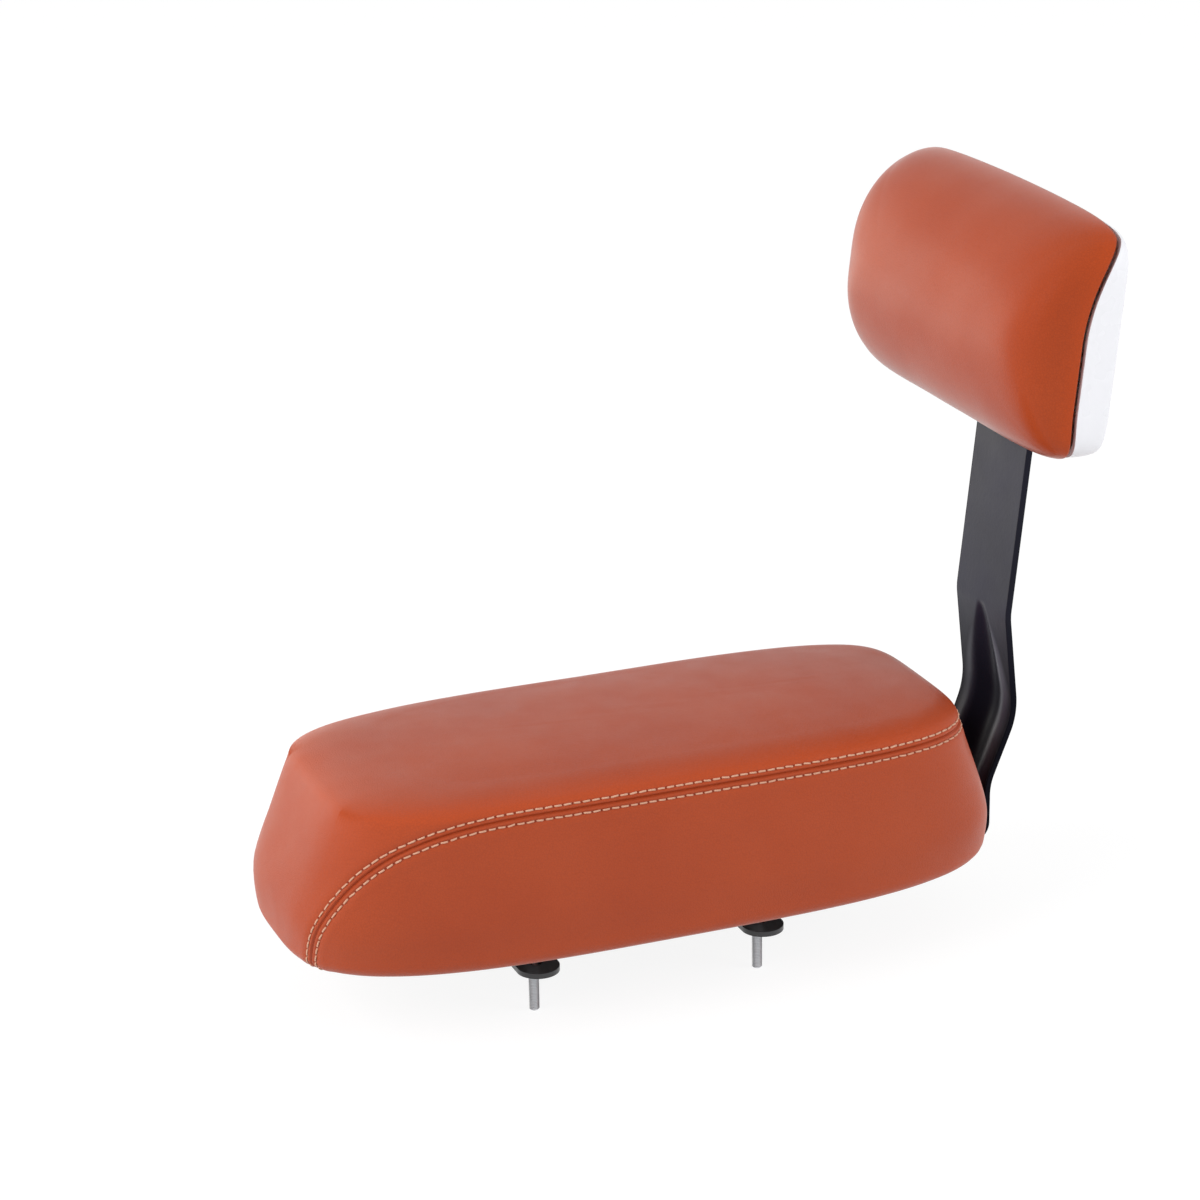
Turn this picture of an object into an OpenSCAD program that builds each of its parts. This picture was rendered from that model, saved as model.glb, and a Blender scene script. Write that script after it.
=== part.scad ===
// Padded rear seat for a bicycle's luggage rack, with a small backrest on a bent flat bar.
// Millimetres. +X points to the back of the bicycle, +Y to the rider's right, +Z up.
// The origin is the middle of the pan's underside, which is the face that sits on the rack.

/* [Seat cushion] */
// Length of the cushion at its widest line
seat_l = 350; // [300:5:400]
// Width of the cushion at its widest line
seat_w = 155; // [140:1:175]
// Height from the rack face to the top of the crown
seat_h = 83; // [70:1:95]
// Height of the widest line of the side wall
belly_z = 24; // [18:1:30]
// Height of the rounded shoulder between the stitched seam and the top
shoulder_h = 10; // [7:0.5:14]
// Rise of the flat top towards its middle
crown_h = 2; // [1:0.5:4]
// How far the side walls lean in between the widest line and the seam
lean_side = 7.5; // [4:0.5:11]
// How far the rear wall leans in
lean_rear = 19.5; // [10:0.5:24]
// How far the front wall leans in
lean_nose = 22; // [15:1:30]
// Inward run of the shoulder along the sides
shoulder_side = 19; // [12:1:24]
// Inward run of the shoulder at the rear
shoulder_rear = 8; // [6:1:14]
// Inward run of the shoulder at the front, which makes the waterfall nose
shoulder_nose = 41; // [25:1:50]
// Radius over which the cover turns under at the bottom edge
tuck_h = 6.5; // [4:0.5:10]
// Inward run of that turn
tuck_in = 5.5; // [3:0.5:8]
// Squareness of the plan at the bottom edge
plan_low = 3.3; // [2.8:0.1:4.5]
// Squareness of the plan at the seam and above
plan_top = 4.7; // [3.5:0.1:5.5]
// Angle round the plan at which the seam starts to drop to the front
seam_turn = 112; // [100:1:125]
// Angle round the plan at which the seam reaches the bottom edge
seam_end = 152; // [145:1:160]

/* [Covers and foam] */
// Thickness of the imitation leather
leather_t = 1.2; // [0.8:0.1:2]
// Width of the hem turned under the pan
hem_w = 23; // [18:1:28]

/* [Seat pan] */
// Distance of the pan's edge from the cushion's bottom edge
pan_margin = 9; // [6:1:14]
// Overall height of the moulded pan
pan_h = 12; // [10:0.5:16]
// Thickness of the pan's floor
pan_floor = 3.5; // [3:0.5:5]
// Thickness of the pan's rim
pan_rim = 3; // [2:0.5:4]
// How far the rack face stands proud of the turned-under hem and of the bar's foot seat
pan_proud = 0.8; // [0.4:0.1:1.5]
// Thickness of the ribs
pan_rib = 2; // [1.5:0.25:3]
// Number of cross ribs between the rim's ends
pan_ribs = 5; // [3:1:7]

/* [Rack clamps] */
// Distance between the front and the rear clamp
clamp_pitch = 112; // [90:2:130]
// Place of the middle between the two clamps along the seat
clamp_mid = -7; // [-20:1:0]
// Distance of each clamp bolt from the cushion's widest line
clamp_edge = 35.5; // [33:0.5:42]
// Thread diameter of the clamp bolts
clamp_d = 5; // [4:1:6]
// Height left for the rack's rails between pan and clamp strip
rail_gap = 12; // [8:1:16]
// How far the bolts reach below the rack face
clamp_drop = 37; // [30:1:50]
// Distance from a clamp bolt to the end of its strip
strip_end = 16; // [12:1:23]
// Width of a clamp strip
strip_w = 20; // [16:1:25]
// Thickness of a clamp strip
strip_t = 2.5; // [2:0.5:4]

/* [Backrest bar] */
// Width of the flat bar
bar_w = 50; // [40:1:56]
// Thickness of the flat bar
bar_t = 3; // [2.5:0.5:4]
// Gap between the cushion's widest line and the upright
bar_gap = 1.5; // [1:0.25:4]
// Length of the foot under the pan, from the upright's front face
foot_l = 112; // [100:2:130]
// Height at which the S-bend leaves the lower upright
bend_z = 27; // [22:1:32]
// Height of the rearmost point of the S-bend
bulge_z = 62; // [56:1:70]
// How far the S-bend bulges behind the lower upright
bulge = 13.5; // [8:0.5:18]
// Height of the kink where the straight upper part starts
kink_z = 111.5; // [100:0.5:125]
// How far the kink lies behind the lower upright
kink_back = 8.5; // [5:0.5:12]
// Backward lean of the upper part
lean = 6.5; // [3:0.5:12]
// Depth of the groove pressed into the bend
groove_d = 4.5; // [2:0.5:6]
// Width of that groove
groove_w = 36; // [24:1:42]

/* [Backrest] */
// Width of the backrest
back_w = 201; // [180:1:230]
// Height of the backrest
back_h = 109; // [100:1:125]
// Distance from the kink to the middle of the backrest, along the bar
back_up = 149; // [140:1:170]
// Squareness of the backrest's outline at the parting line and of its shell
back_square = 9; // [5:1:10]
// Squareness of the pad's outline in front, where the cover pulls it rounder
front_square = 5; // [3:0.5:7]
// Thickness of the barrel-shaped pad in front of the parting line, in the middle
pad_t = 28; // [22:1:34]
// Squareness of the pad's section along its width; its section up and down is an ellipse
pad_square = 14; // [8:1:18]
// Depth of the shell at its edge
shell_edge = 18.5; // [14:0.5:20]
// Depth of the shell in the middle, where the bar bears on it
shell_mid = 21.5; // [20:0.5:26]
// Wall thickness of the shell
shell_wall = 2.2; // [1.8:0.1:3]
// Gap between the cover's edge and the shell's rim
shell_gap = 1.2; // [0.6:0.1:1.8]
// Thickness of the backrest's plywood board
board_t = 6; // [5:0.5:9]
// Distance between the two bolts that hold the backrest on its bar
back_pitch = 44; // [36:2:56]
// Thread diameter of the bar's bolts, at the seat and at the backrest
bolt_d = 6; // [5:1:6]

/* [Hidden] */
$fn = 48;

// Clearance round bolts, and how finely the upholstery is divided
fit = 0.25;
core = 5;
cells_round = 56;
corner_crowd = 6;

// Heights of the seat
seam_z = seat_h - shoulder_h;
hem_z = pan_proud;
hem_top = hem_z + leather_t;
seam_level = 0.985;
seam_foot = 0.06;

// Places along the seat
pan_edge = tuck_in + 1 + pan_margin;
clamp_x = [clamp_mid - clamp_pitch / 2, clamp_mid + clamp_pitch / 2];
clamp_gauge = seat_w - 2 * clamp_edge;
strip_l = clamp_gauge + 2 * strip_end;
up_x = seat_l / 2 + bar_gap + bar_t / 2;
foot_x = seat_l / 2 + bar_gap - foot_l;
foot_z = pan_proud - bar_t;
foot_seat_gap = 0.5;
foot_bolt_in = 16;
foot_bolt_pitch = 50;
foot_bolt_x = [foot_x + foot_bolt_in, foot_x + foot_bolt_in + foot_bolt_pitch];
kink = [up_x + kink_back, kink_z];

// Bends of the bar and the places where its straight ends begin
bar_corner = 8;
foot_bend_r = 2.7 * bar_t;
s_bend_r = 30;
bulge_r = 40;
foot_joint = 30;
upper_joint = 20;
groove_foot = 6;
groove_tip = 8;

// Fasteners
washer_t = 1.6;
head_t = 4;
hex_across = 10;
insert_wall = 1.5;
insert_d = bolt_d + 2 * insert_wall;
insert_h = 9;
boss_wall = 3;
clamp_head_d = 2.4 * clamp_d;
clamp_head_t = 2.6;
clamp_head_in = 4;
clamp_head_z = pan_h - clamp_head_in;
clamp_neck = 3.5;
clamp_washer_t = 1;
tee_wall = 1;
tee_d = bolt_d + 2 * tee_wall;
tee_flange = 18;
tee_t = 1.2;
screw_d = 4;
screw_head = 7.5;
screw_head_t = 2.6;
screw_in = 4.8;
screw_seat = 6;
screw_inset = [31, 25];
screw_y = back_w / 2 - screw_inset[0];
screw_z = back_h / 2 - screw_inset[1];
strip_slot = 12;

// Backrest
back_hem = 16;
board_x = -leather_t;
wrap_top = shell_edge - 4.5;
board_in_y = 5;
board_turn = asin((wrap_top + board_t) / (wrap_top + pad_t - 2 * leather_t));
board_in_z = back_h / 2 + 1 - (back_h / 2 - leather_t) * cos(board_turn);
wrap_bottom = 3;
wrap_from = [0.05, 0.5];
wrap_to = 0.92;
shell_step = 0.5;
shell_round = 2;
shell_flat = 22;
shell_rib = 1.6;
back_boss_wall = 4;
screw_boss_wall = 2;
bar_top = back_up + back_pitch / 2 + 13;

function mix(a, b, t) = a + (b - a) * t;
function clip(t) = min(max(t, 0), 1);
function angle_at(i) =
    let (t = 360 * i / cells_round)
    t + corner_crowd * sin(4 * t);

// Point of a superellipse of half sizes 1 and squareness n, in direction a
function squircle(a, n) =
    [cos(a), sin(a)] / pow(pow(abs(cos(a)), n) + pow(abs(sin(a)), n), 1 / n);

// Cover of the seat at station k: -1 hem's inner edge, 0 bottom edge, 1 seam height,
// 2 end of the shoulder, 3 middle of the top. d is the depth below the outer surface.
function seat_rise(k, d) =
    mix(hem_z + d, seam_z, clip(k))
    + (shoulder_h - crown_h - d) * sin(90 * clip(k - 1))
    + crown_h * (1 - pow(1 - clip(k - 2), 2));

function seat_inset(k, d, lean_in, shoulder, flare) =
    let (z = seat_rise(k, d))
    let (turn = clip(1 - (z - hem_z - d) / (tuck_h - d)))
    let (over = clip((z - belly_z) / (seam_z - belly_z)))
    d + (tuck_in - d) * (1 - sqrt(1 - turn * turn))
    + flare * pow(clip(1 - z / belly_z), 2)
    + lean_in * over
    + shoulder * (1 - cos(90 * clip(k - 1)))
    + hem_w * clip(-k);

function seat_point(k, a, d) =
    let (z = seat_rise(k, d))
    let (side_0 = seat_inset(k, d, lean_side, shoulder_side, 1))
    let (inward = clip(k - 2) * (seat_w / 2 - side_0 - core))
    let (side = side_0 + inward)
    let (rear = seat_inset(k, d, lean_rear, shoulder_rear, 1.5) + inward)
    let (nose = seat_inset(k, d, lean_nose, shoulder_nose, 2) + inward)
    let (c = squircle(a, mix(plan_low, plan_top, clip(z / seam_z))))
    [
        (nose - rear) / 2 + (seat_l - nose - rear) / 2 * c[0],
        (seat_w / 2 - side) * c[1],
        z
    ];

// Flat outline of the pan, d inside the cushion's bottom edge
function pan_outline(d) = [
    for (i = [0 : cells_round - 1])
        let (p = seat_point(0, angle_at(i), 0))
        let (q = seat_point(-1, angle_at(i), 0))
        mix([p[0], p[1]], [q[0], q[1]], d / hem_w)
];

// Height station of the stitched seam in direction a: level along the sides and the rear,
// then a curve that falls round the front corner to the bottom edge
function seam_at(a) =
    let (from_rear = abs(a > 180 ? a - 360 : a))
    let (drop = pow(clip((from_rear - seam_turn) / (seam_end - seam_turn)), 3))
    mix(seam_level, seam_foot, drop);

// Rows of the cover: the hem, the side band up to the seam, the panel above it, the flat top
band_rows = [0, 0.012, 0.04, 0.09, 0.2, 0.36, 0.58, 0.8, 1];
panel_rows = [0.1, 0.22, 0.36, 0.5, 0.64, 0.78, 0.9, 1];
flat_rows = [2.45, 3];
seam_row = len(band_rows);

function seat_stations(a) = concat(
    [-1],
    [for (r = band_rows) r * seam_at(a)],
    [for (r = panel_rows) mix(seam_at(a), 2, r)],
    flat_rows
);

seat_stations_all = [for (i = [0 : cells_round - 1]) seat_stations(angle_at(i))];
seat_rows = len(seat_stations_all[0]);

function seat_rings(d) = [
    for (j = [0 : seat_rows - 1])
        [for (i = [0 : cells_round - 1]) seat_point(seat_stations_all[i][j], angle_at(i), d)]
];

// True where the cell after direction i and row j belongs to the side band
function in_band(i, j) =
    let (a = angle_at(i + 0.5))
    j < seam_row && abs(a > 180 ? a - 360 : a) < seam_end;

// The two triangles of a four-cornered cell
function split(a, b, c, d) = [[a, b, c], [a, c, d]];

// Flat cap over a ring of n points that starts at point p, cut into strips across it
function cap(p, n) = [
    for (i = [0 : n / 2 - 2])
        each split(p + i, p + i + 1, p + n - 2 - i, p + n - 1 - i)
];

function flip(faces) = [for (f = faces) [f[0], f[2], f[1]]];

// A closed solid through rings of points, with a flat cap at each end
module loft(rings) {
    n = len(rings[0]);
    last = len(rings) - 1;
    polyhedron(
        points = [for (ring = rings) each ring],
        faces = concat(
            [
                for (j = [0 : last - 1], i = [0 : n - 1])
                    let (k = (i + 1) % n)
                    each split(j * n + i, j * n + n + i, j * n + n + k, j * n + k)
            ],
            cap(0, n),
            flip(cap(last * n, n))
        )
    );
}

// A sheet of even thickness between two sets of rings. used(i, j) says which cells it has,
// and a wall closes it wherever a cell's neighbour is left out.
module sheet(outer, inner, used, capped) {
    n = len(outer[0]);
    rows = len(outer);
    deep = n * rows;
    function on(i, j) = j < 0 ? false : j > rows - 2 ? capped : used((i + n) % n, j);
    polyhedron(
        points = concat([for (ring = outer) each ring], [for (ring = inner) each ring]),
        faces = concat(
            [
                for (j = [0 : rows - 2], i = [0 : n - 1])
                    if (on(i, j))
                        let (k = (i + 1) % n)
                        let (p = j * n + i, q = j * n + k, r = p + n, s = q + n)
                        each concat(
                            split(p, r, s, q),
                            split(p + deep, q + deep, s + deep, r + deep),
                            on(i, j - 1) ? [] : split(p, q, q + deep, p + deep),
                            on(i, j + 1) ? [] : split(r, r + deep, s + deep, s),
                            on(i - 1, j) ? [] : split(p, p + deep, r + deep, r),
                            on(i + 1, j) ? [] : split(q, s, s + deep, q + deep)
                        )
            ],
            capped ? flip(cap(deep - n, n)) : [],
            capped ? cap(2 * deep - n, n) : []
        )
    );
}

module seat_top_panel() {
    color([0.66, 0.31, 0.2])
        sheet(
            seat_rings(0), seat_rings(leather_t),
            function(i, j) !in_band(i, j),
            true
        );
}

module seat_side_band() {
    color([0.62, 0.29, 0.18])
        sheet(
            seat_rings(0), seat_rings(leather_t),
            function(i, j) in_band(i, j),
            false
        );
}

module seat_foam() {
    pan_line = pan_outline(pan_margin);
    skin = seat_rings(leather_t);
    color([0.93, 0.88, 0.7])
        loft(concat(
            [[for (p = pan_line) [p[0], p[1], pan_h]]],
            [[for (p = pan_line) [p[0], p[1], hem_top]]],
            [for (j = [1 : seat_rows - 1]) skin[j]]
        ));
}

// The moulded pan: floor, rim, ribs and bosses in one piece
module pan_solid(d) {
    linear_extrude(pan_h)
        polygon(pan_outline(pan_margin + d));
}

module at_clamp_bolts() {
    for (x = clamp_x, y = [-clamp_gauge / 2, clamp_gauge / 2])
        translate([x, y, 0])
            children();
}

module at_foot_bolts() {
    for (x = foot_bolt_x)
        translate([x, 0, 0])
            children();
}

// Plan of the bar's foot, which is also the seat sunk for it in the pan
module foot_outline(reach, grow) {
    wide = bar_w / 2 + grow;
    corner = bar_corner + grow;
    translate([foot_x - grow, -wide]) {
        translate([corner, 0])
            square([reach + grow - corner, 2 * wide]);
        translate([0, corner])
            square([2 * corner, 2 * (wide - corner)]);
        for (y = [corner, 2 * wide - corner])
            translate([corner, y])
                circle(r = corner);
    }
}

module pan_ribs() {
    reach = seat_l - 2 * pan_edge;
    for (i = [1 : pan_ribs])
        translate([-reach / 2 + i * reach / (pan_ribs + 1) - pan_rib / 2, -seat_w / 2, 1])
            cube([pan_rib, seat_w, pan_h - 1]);
    for (y = [-clamp_gauge / 4, clamp_gauge / 4])
        translate([-seat_l / 2, y - pan_rib / 2, 1])
            cube([seat_l, pan_rib, pan_h - 1]);
}

module base_pan() {
    color([0.12, 0.12, 0.13])
        difference() {
            union() {
                difference() {
                    pan_solid(0);
                    translate([0, 0, pan_floor])
                        pan_solid(pan_rim);
                }
                intersection() {
                    pan_solid(pan_rim / 2);
                    union() {
                        pan_ribs();
                        at_clamp_bolts()
                            cylinder(h = pan_h, d = clamp_head_d + 2 * boss_wall);
                        at_foot_bolts()
                            cylinder(h = pan_h, d = insert_d + 2 * boss_wall);
                    }
                }
            }
            difference() {
                translate([0, 0, hem_top - pan_h])
                    pan_solid(-pan_margin);
                translate([0, 0, hem_top - 2 * pan_h])
                    linear_extrude(3 * pan_h)
                        polygon(pan_outline(hem_w + 1));
            }
            at_clamp_bolts() {
                translate([0, 0, -1])
                    cylinder(h = pan_h, d = clamp_d + 2 * fit);
                translate([0, 0, clamp_head_z])
                    cylinder(h = pan_h, d = clamp_head_d + 4 * fit);
                translate([-clamp_d / 2 - fit, -clamp_d / 2 - fit, clamp_head_z - clamp_neck])
                    cube([clamp_d + 2 * fit, clamp_d + 2 * fit, pan_h]);
            }
            at_foot_bolts()
                translate([0, 0, -1])
                    cylinder(h = insert_h + 1, d = insert_d);
            translate([0, 0, pan_proud - pan_h])
                linear_extrude(pan_h)
                    foot_outline(foot_l, foot_seat_gap);
        }
}

module pan_inserts() {
    color([0.78, 0.64, 0.3])
        at_foot_bolts()
            difference() {
                translate([0, 0, pan_proud])
                    cylinder(h = insert_h - pan_proud, d = insert_d);
                cylinder(h = insert_h + 1, d = bolt_d);
            }
}

// A carriage bolt: domed head in the pan, square neck, shank down past the clamp
module clamp_bolts() {
    dome = clamp_head_t;
    sphere_r = (pow(clamp_head_d / 2, 2) + dome * dome) / (2 * dome);
    color([0.8, 0.81, 0.83])
        at_clamp_bolts() {
            translate([0, 0, clamp_head_z])
                intersection() {
                    cylinder(h = dome, d = clamp_head_d);
                    translate([0, 0, dome - sphere_r])
                        sphere(r = sphere_r);
                }
            translate([-clamp_d / 2, -clamp_d / 2, clamp_head_z - clamp_neck])
                cube([clamp_d, clamp_d, clamp_neck]);
            translate([0, 0, -clamp_drop])
                cylinder(h = clamp_drop + clamp_head_z, d = clamp_d);
        }
}

// A flat steel strip with round ends and a slot for each bolt
module clamp_strip(x) {
    color([0.13, 0.13, 0.14])
        translate([x, 0, -rail_gap - strip_t])
            difference() {
                union() {
                    translate([-strip_w / 2, -strip_l / 2 + strip_w / 2, 0])
                        cube([strip_w, strip_l - strip_w, strip_t]);
                    for (y = [-1, 1])
                        translate([0, y * (strip_l - strip_w) / 2, 0])
                            cylinder(h = strip_t, d = strip_w);
                }
                for (y = [-clamp_gauge / 2, clamp_gauge / 2])
                    translate([0, y, -1]) {
                        for (e = [-1, 1])
                            translate([0, e * (strip_slot - clamp_d) / 2, 0])
                                cylinder(h = strip_t + 2, d = clamp_d + 2 * fit);
                        translate([-clamp_d / 2 - fit, -(strip_slot - clamp_d) / 2, 0])
                            cube([clamp_d + 2 * fit, strip_slot - clamp_d, strip_t + 2]);
                    }
            }
}

module clamp_strip_front() {
    clamp_strip(clamp_x[0]);
}

module clamp_strip_rear() {
    clamp_strip(clamp_x[1]);
}

module washer(d, hole, t) {
    difference() {
        cylinder(h = t, d = d);
        translate([0, 0, -1])
            cylinder(h = t + 2, d = hole);
    }
}

module clamp_washers() {
    color([0.74, 0.75, 0.77])
        at_clamp_bolts()
            translate([0, 0, -rail_gap - strip_t - clamp_washer_t])
                washer(3 * clamp_d, clamp_d + 2 * fit, clamp_washer_t);
}

// A hexagon of the given width across its flats, its lower corners turned off at 45 degrees
module hexagon(across, h) {
    intersection() {
        cylinder(h = h, d = across / cos(30), $fn = 6);
        cylinder(h = h, d1 = 0.95 * across, d2 = 0.95 * across + 2 * h);
    }
}

module clamp_nuts() {
    nut_h = 0.8 * clamp_d;
    color([0.74, 0.75, 0.77])
        at_clamp_bolts()
            translate([0, 0, -rail_gap - strip_t - clamp_washer_t - nut_h])
                difference() {
                    hexagon(1.6 * clamp_d, nut_h);
                    translate([0, 0, -1])
                        cylinder(h = nut_h + 2, d = clamp_d);
                }
}

// Centre line of the bar in its side view: corner points, each with its bend radius
bar_corners = [
    [foot_x + foot_l - foot_joint, foot_z + bar_t / 2, 0],
    [up_x, foot_z + bar_t / 2, foot_bend_r],
    [up_x, bend_z, s_bend_r],
    [up_x + bulge, bulge_z, bulge_r],
    [kink[0], kink[1], s_bend_r],
    [kink[0] + upper_joint * sin(lean), kink[1] + upper_joint * cos(lean), 0]
];

function heading(p, q) = atan2(q[1] - p[1], q[0] - p[0]);

// Stations x, z, heading round the bend at corner i
function bend(i) =
    let (p = bar_corners[i - 1], q = bar_corners[i], r = bar_corners[i + 1])
    let (from = heading(p, q), to = heading(q, r))
    let (turn = to - from, side = sign(turn), radius = q[2])
    let (set_back = radius * tan(abs(turn) / 2))
    let (sx = q[0] - set_back * cos(from), sz = q[1] - set_back * sin(from))
    let (steps = ceil(abs(turn) / 12) + 1)
    [
        for (k = [0 : steps])
            let (h = from + turn * k / steps)
            [
                sx + side * radius * (sin(h) - sin(from)),
                sz - side * radius * (cos(h) - cos(from)),
                h
            ]
    ];

function bar_end(i, h) = [bar_corners[i][0], bar_corners[i][1], h];

bar_last = len(bar_corners) - 1;
bar_line = concat(
    [bar_end(0, 0)],
    [for (i = [1 : bar_last - 1]) each bend(i)],
    [bar_end(bar_last, 90 - lean)]
);
groove_rows = [-1, -0.75, -0.5, -0.25, 0, 0.25, 0.5, 0.75, 1];

// Depth and width of the pressed groove at height z: it starts in a point at the kink, is full
// in the bulge, and fades out above the foot
function groove_at(z) =
    let (below_kink = clip((kink_z - z) / (kink_z - bulge_z)))
    let (above_foot = clip((z - groove_foot) / bend_z))
    [groove_d * sin(90 * min(below_kink, above_foot)), mix(groove_tip, groove_w, sin(90 * below_kink))];

// Section of the bar at one station, front side first
function bar_section(s) =
    let (groove = groove_at(s[1]))
    let (across = concat([bar_w / 2], [for (t = groove_rows) -t * groove[1] / 2], [-bar_w / 2]))
    let (dent = concat([0], [for (t = groove_rows) groove[0] * pow(cos(90 * t), 2)], [0]))
    let (last = len(across) - 1)
    let (nx = -sin(s[2]), nz = cos(s[2]))
    concat(
        [
            for (i = [0 : last])
                let (o = bar_t / 2 - dent[i])
                [s[0] + nx * o, across[i], s[1] + nz * o]
        ],
        [
            for (i = [last : -1 : 0])
                let (o = -bar_t / 2 - dent[i])
                [s[0] + nx * o, across[i], s[1] + nz * o]
        ]
    );

// Puts its children in the frame of the bar's straight upper part: x to the rear, z up the bar
module at_upper_bar() {
    translate([kink[0], 0, kink[1]])
        rotate([0, lean, 0])
            children();
}

// Puts its children in the frame of the backrest: x to the rear from its parting line
module at_backrest() {
    at_upper_bar()
        translate([-bar_t / 2 - shell_mid, 0, back_up])
            children();
}

module at_back_bolts() {
    for (z = [-back_pitch / 2, back_pitch / 2])
        translate([0, 0, z])
            rotate([0, 90, 0])
                children();
}

module upper_bar() {
    reach = bar_top - upper_joint;
    at_upper_bar()
        translate([-bar_t / 2, 0, upper_joint])
            rotate([90, 0, 90])
                linear_extrude(bar_t) {
                    translate([-bar_w / 2, 0])
                        square([bar_w, reach - bar_corner]);
                    translate([-bar_w / 2 + bar_corner, 0])
                        square([bar_w - 2 * bar_corner, reach]);
                    for (y = [-1, 1])
                        translate([y * (bar_w / 2 - bar_corner), reach - bar_corner])
                            circle(r = bar_corner);
                }
}

module foot_plate() {
    translate([0, 0, foot_z])
        linear_extrude(bar_t)
            foot_outline(foot_l - foot_joint, 0);
}

// One flat bar: foot under the pan, bend, grooved S-bend, and the straight part of the backrest
module back_bar() {
    color([0.2, 0.2, 0.23])
        difference() {
            union() {
                foot_plate();
                loft([for (s = bar_line) bar_section(s)]);
                upper_bar();
            }
            at_foot_bolts()
                translate([0, 0, -2 * bar_t])
                    cylinder(h = 4 * bar_t, d = bolt_d + 2 * fit);
            at_backrest()
                at_back_bolts()
                    translate([0, 0, shell_mid - bar_t])
                        cylinder(h = 4 * bar_t, d = bolt_d + 2 * fit);
        }
}

module foot_washers() {
    color([0.74, 0.75, 0.77])
        at_foot_bolts()
            translate([0, 0, foot_z - washer_t])
                washer(2 * bolt_d, bolt_d + 2 * fit, washer_t);
}

module foot_bolts() {
    color([0.74, 0.75, 0.77])
        at_foot_bolts() {
            translate([0, 0, foot_z - washer_t - head_t])
                hexagon(hex_across, head_t);
            translate([0, 0, foot_z - washer_t])
                cylinder(h = washer_t + insert_h - foot_z - insert_wall, d = bolt_d);
        }
}

// Backward sweep of the parting line at height z of the backrest: more and more to the rear
// from mid-height to the top, and a little at the bottom
function sweep_at(z) =
    let (from = wrap_from[z > 0 ? 0 : 1])
    let (t = clip((abs(z) / (back_h / 2) - from) / (wrap_to - from)))
    (z > 0 ? wrap_top : wrap_bottom) * t * t;

// Ring of the backrest's outline, with its own squareness and its own inward run at the ends
// and at top and bottom. depth(z) is the distance behind the parting plane for a point whose
// edge height is z. way is 1 for rings that follow each other to the rear, -1 to the front.
function back_ring(square, in_y, in_z, depth, way) = [
    for (i = [0 : cells_round - 1])
        let (c = squircle(angle_at(way * i), square))
        [depth(c[1] * back_h / 2), (back_w / 2 - in_y) * c[0], (back_h / 2 - in_z) * c[1]]
];

pad_rows = [0, 8, 17, 27, 38, 50, 62, 74, 84];

// Rings of the leather cover: the hem's inner edge, the parting line, and on to the front in
// steps of an angle a. The height shrinks as its cosine, the width more slowly.
function pad_rings(d) = concat(
    [back_ring(back_square, back_hem, back_hem, function(z) -d, -1)],
    [
        for (a = pad_rows)
            back_ring(
                mix(back_square, front_square, sin(a)),
                back_w / 2 - (back_w / 2 - d) * pow(cos(a), 2 / pad_square),
                back_h / 2 - (back_h / 2 - d) * cos(a),
                function(z) mix(sweep_at(z) - d, d - pad_t, sin(a)),
                -1
            )
    ]
);

module backrest_cover() {
    color([0.7, 0.36, 0.24])
        at_backrest()
            sheet(pad_rings(0), pad_rings(leather_t), function(i, j) true, true);
}

module board_solid() {
    translate([board_x - board_t, 0, 0])
        rotate([90, 0, 90])
            linear_extrude(board_t)
                polygon([
                    for (p = back_ring(front_square, board_in_y, board_in_z, function(z) 0, 1)) [p[1], p[2]]
                ]);
}

module backrest_foam() {
    color([0.93, 0.88, 0.7])
        at_backrest()
            difference() {
                loft(pad_rings(leather_t));
                board_solid();
                at_back_bolts() {
                    translate([0, 0, board_x - board_t - tee_t])
                        cylinder(h = board_t, d = tee_flange);
                    translate([0, 0, board_x - board_t - tee_t - 3])
                        cylinder(h = board_t, d = bolt_d + 1);
                }
            }
}

module at_shell_screws() {
    for (y = [-screw_y, screw_y], z = [-screw_z, screw_z])
        translate([0, y, z])
            rotate([0, 90, 0])
                children();
}

module backrest_board() {
    color([0.8, 0.66, 0.45])
        at_backrest()
            difference() {
                board_solid();
                at_back_bolts()
                    translate([0, 0, board_x - board_t - 1])
                        cylinder(h = board_t + 2, d = tee_d);
                at_shell_screws()
                    translate([0, 0, board_x - screw_in])
                        cylinder(h = screw_in + 1, d = screw_d);
            }
}

module backrest_tee_nuts() {
    color([0.74, 0.75, 0.77])
        at_backrest()
            at_back_bolts()
                difference() {
                    union() {
                        translate([0, 0, board_x - board_t - tee_t])
                            cylinder(h = tee_t, d = tee_flange);
                        translate([0, 0, board_x - board_t])
                            cylinder(h = board_t, d = tee_d);
                    }
                    translate([0, 0, board_x - board_t - tee_t - 1])
                        cylinder(h = board_t + tee_t + 2, d = bolt_d);
                }
}

// Rings of the shell from its rim over the rounded edge to the flat where the bar bears
function shell_rings(d) = concat(
    [
        for (a = [0, 30, 60, 90])
            back_ring(
                back_square,
                shell_step + d + (shell_round - d / 2) * (1 - cos(a)),
                shell_step + d + (shell_round - d / 2) * (1 - cos(a)),
                function(z) mix(sweep_at(z) + shell_gap, shell_edge - d, sin(a)),
                1
            )
    ],
    [
        for (t = [0.5, 1])
            back_ring(
                back_square,
                mix(shell_step + shell_round, shell_flat, t),
                mix(shell_step + shell_round, shell_flat, t),
                function(z) mix(shell_edge, shell_mid, sin(90 * t)) - d,
                1
            )
    ]
);

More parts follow.
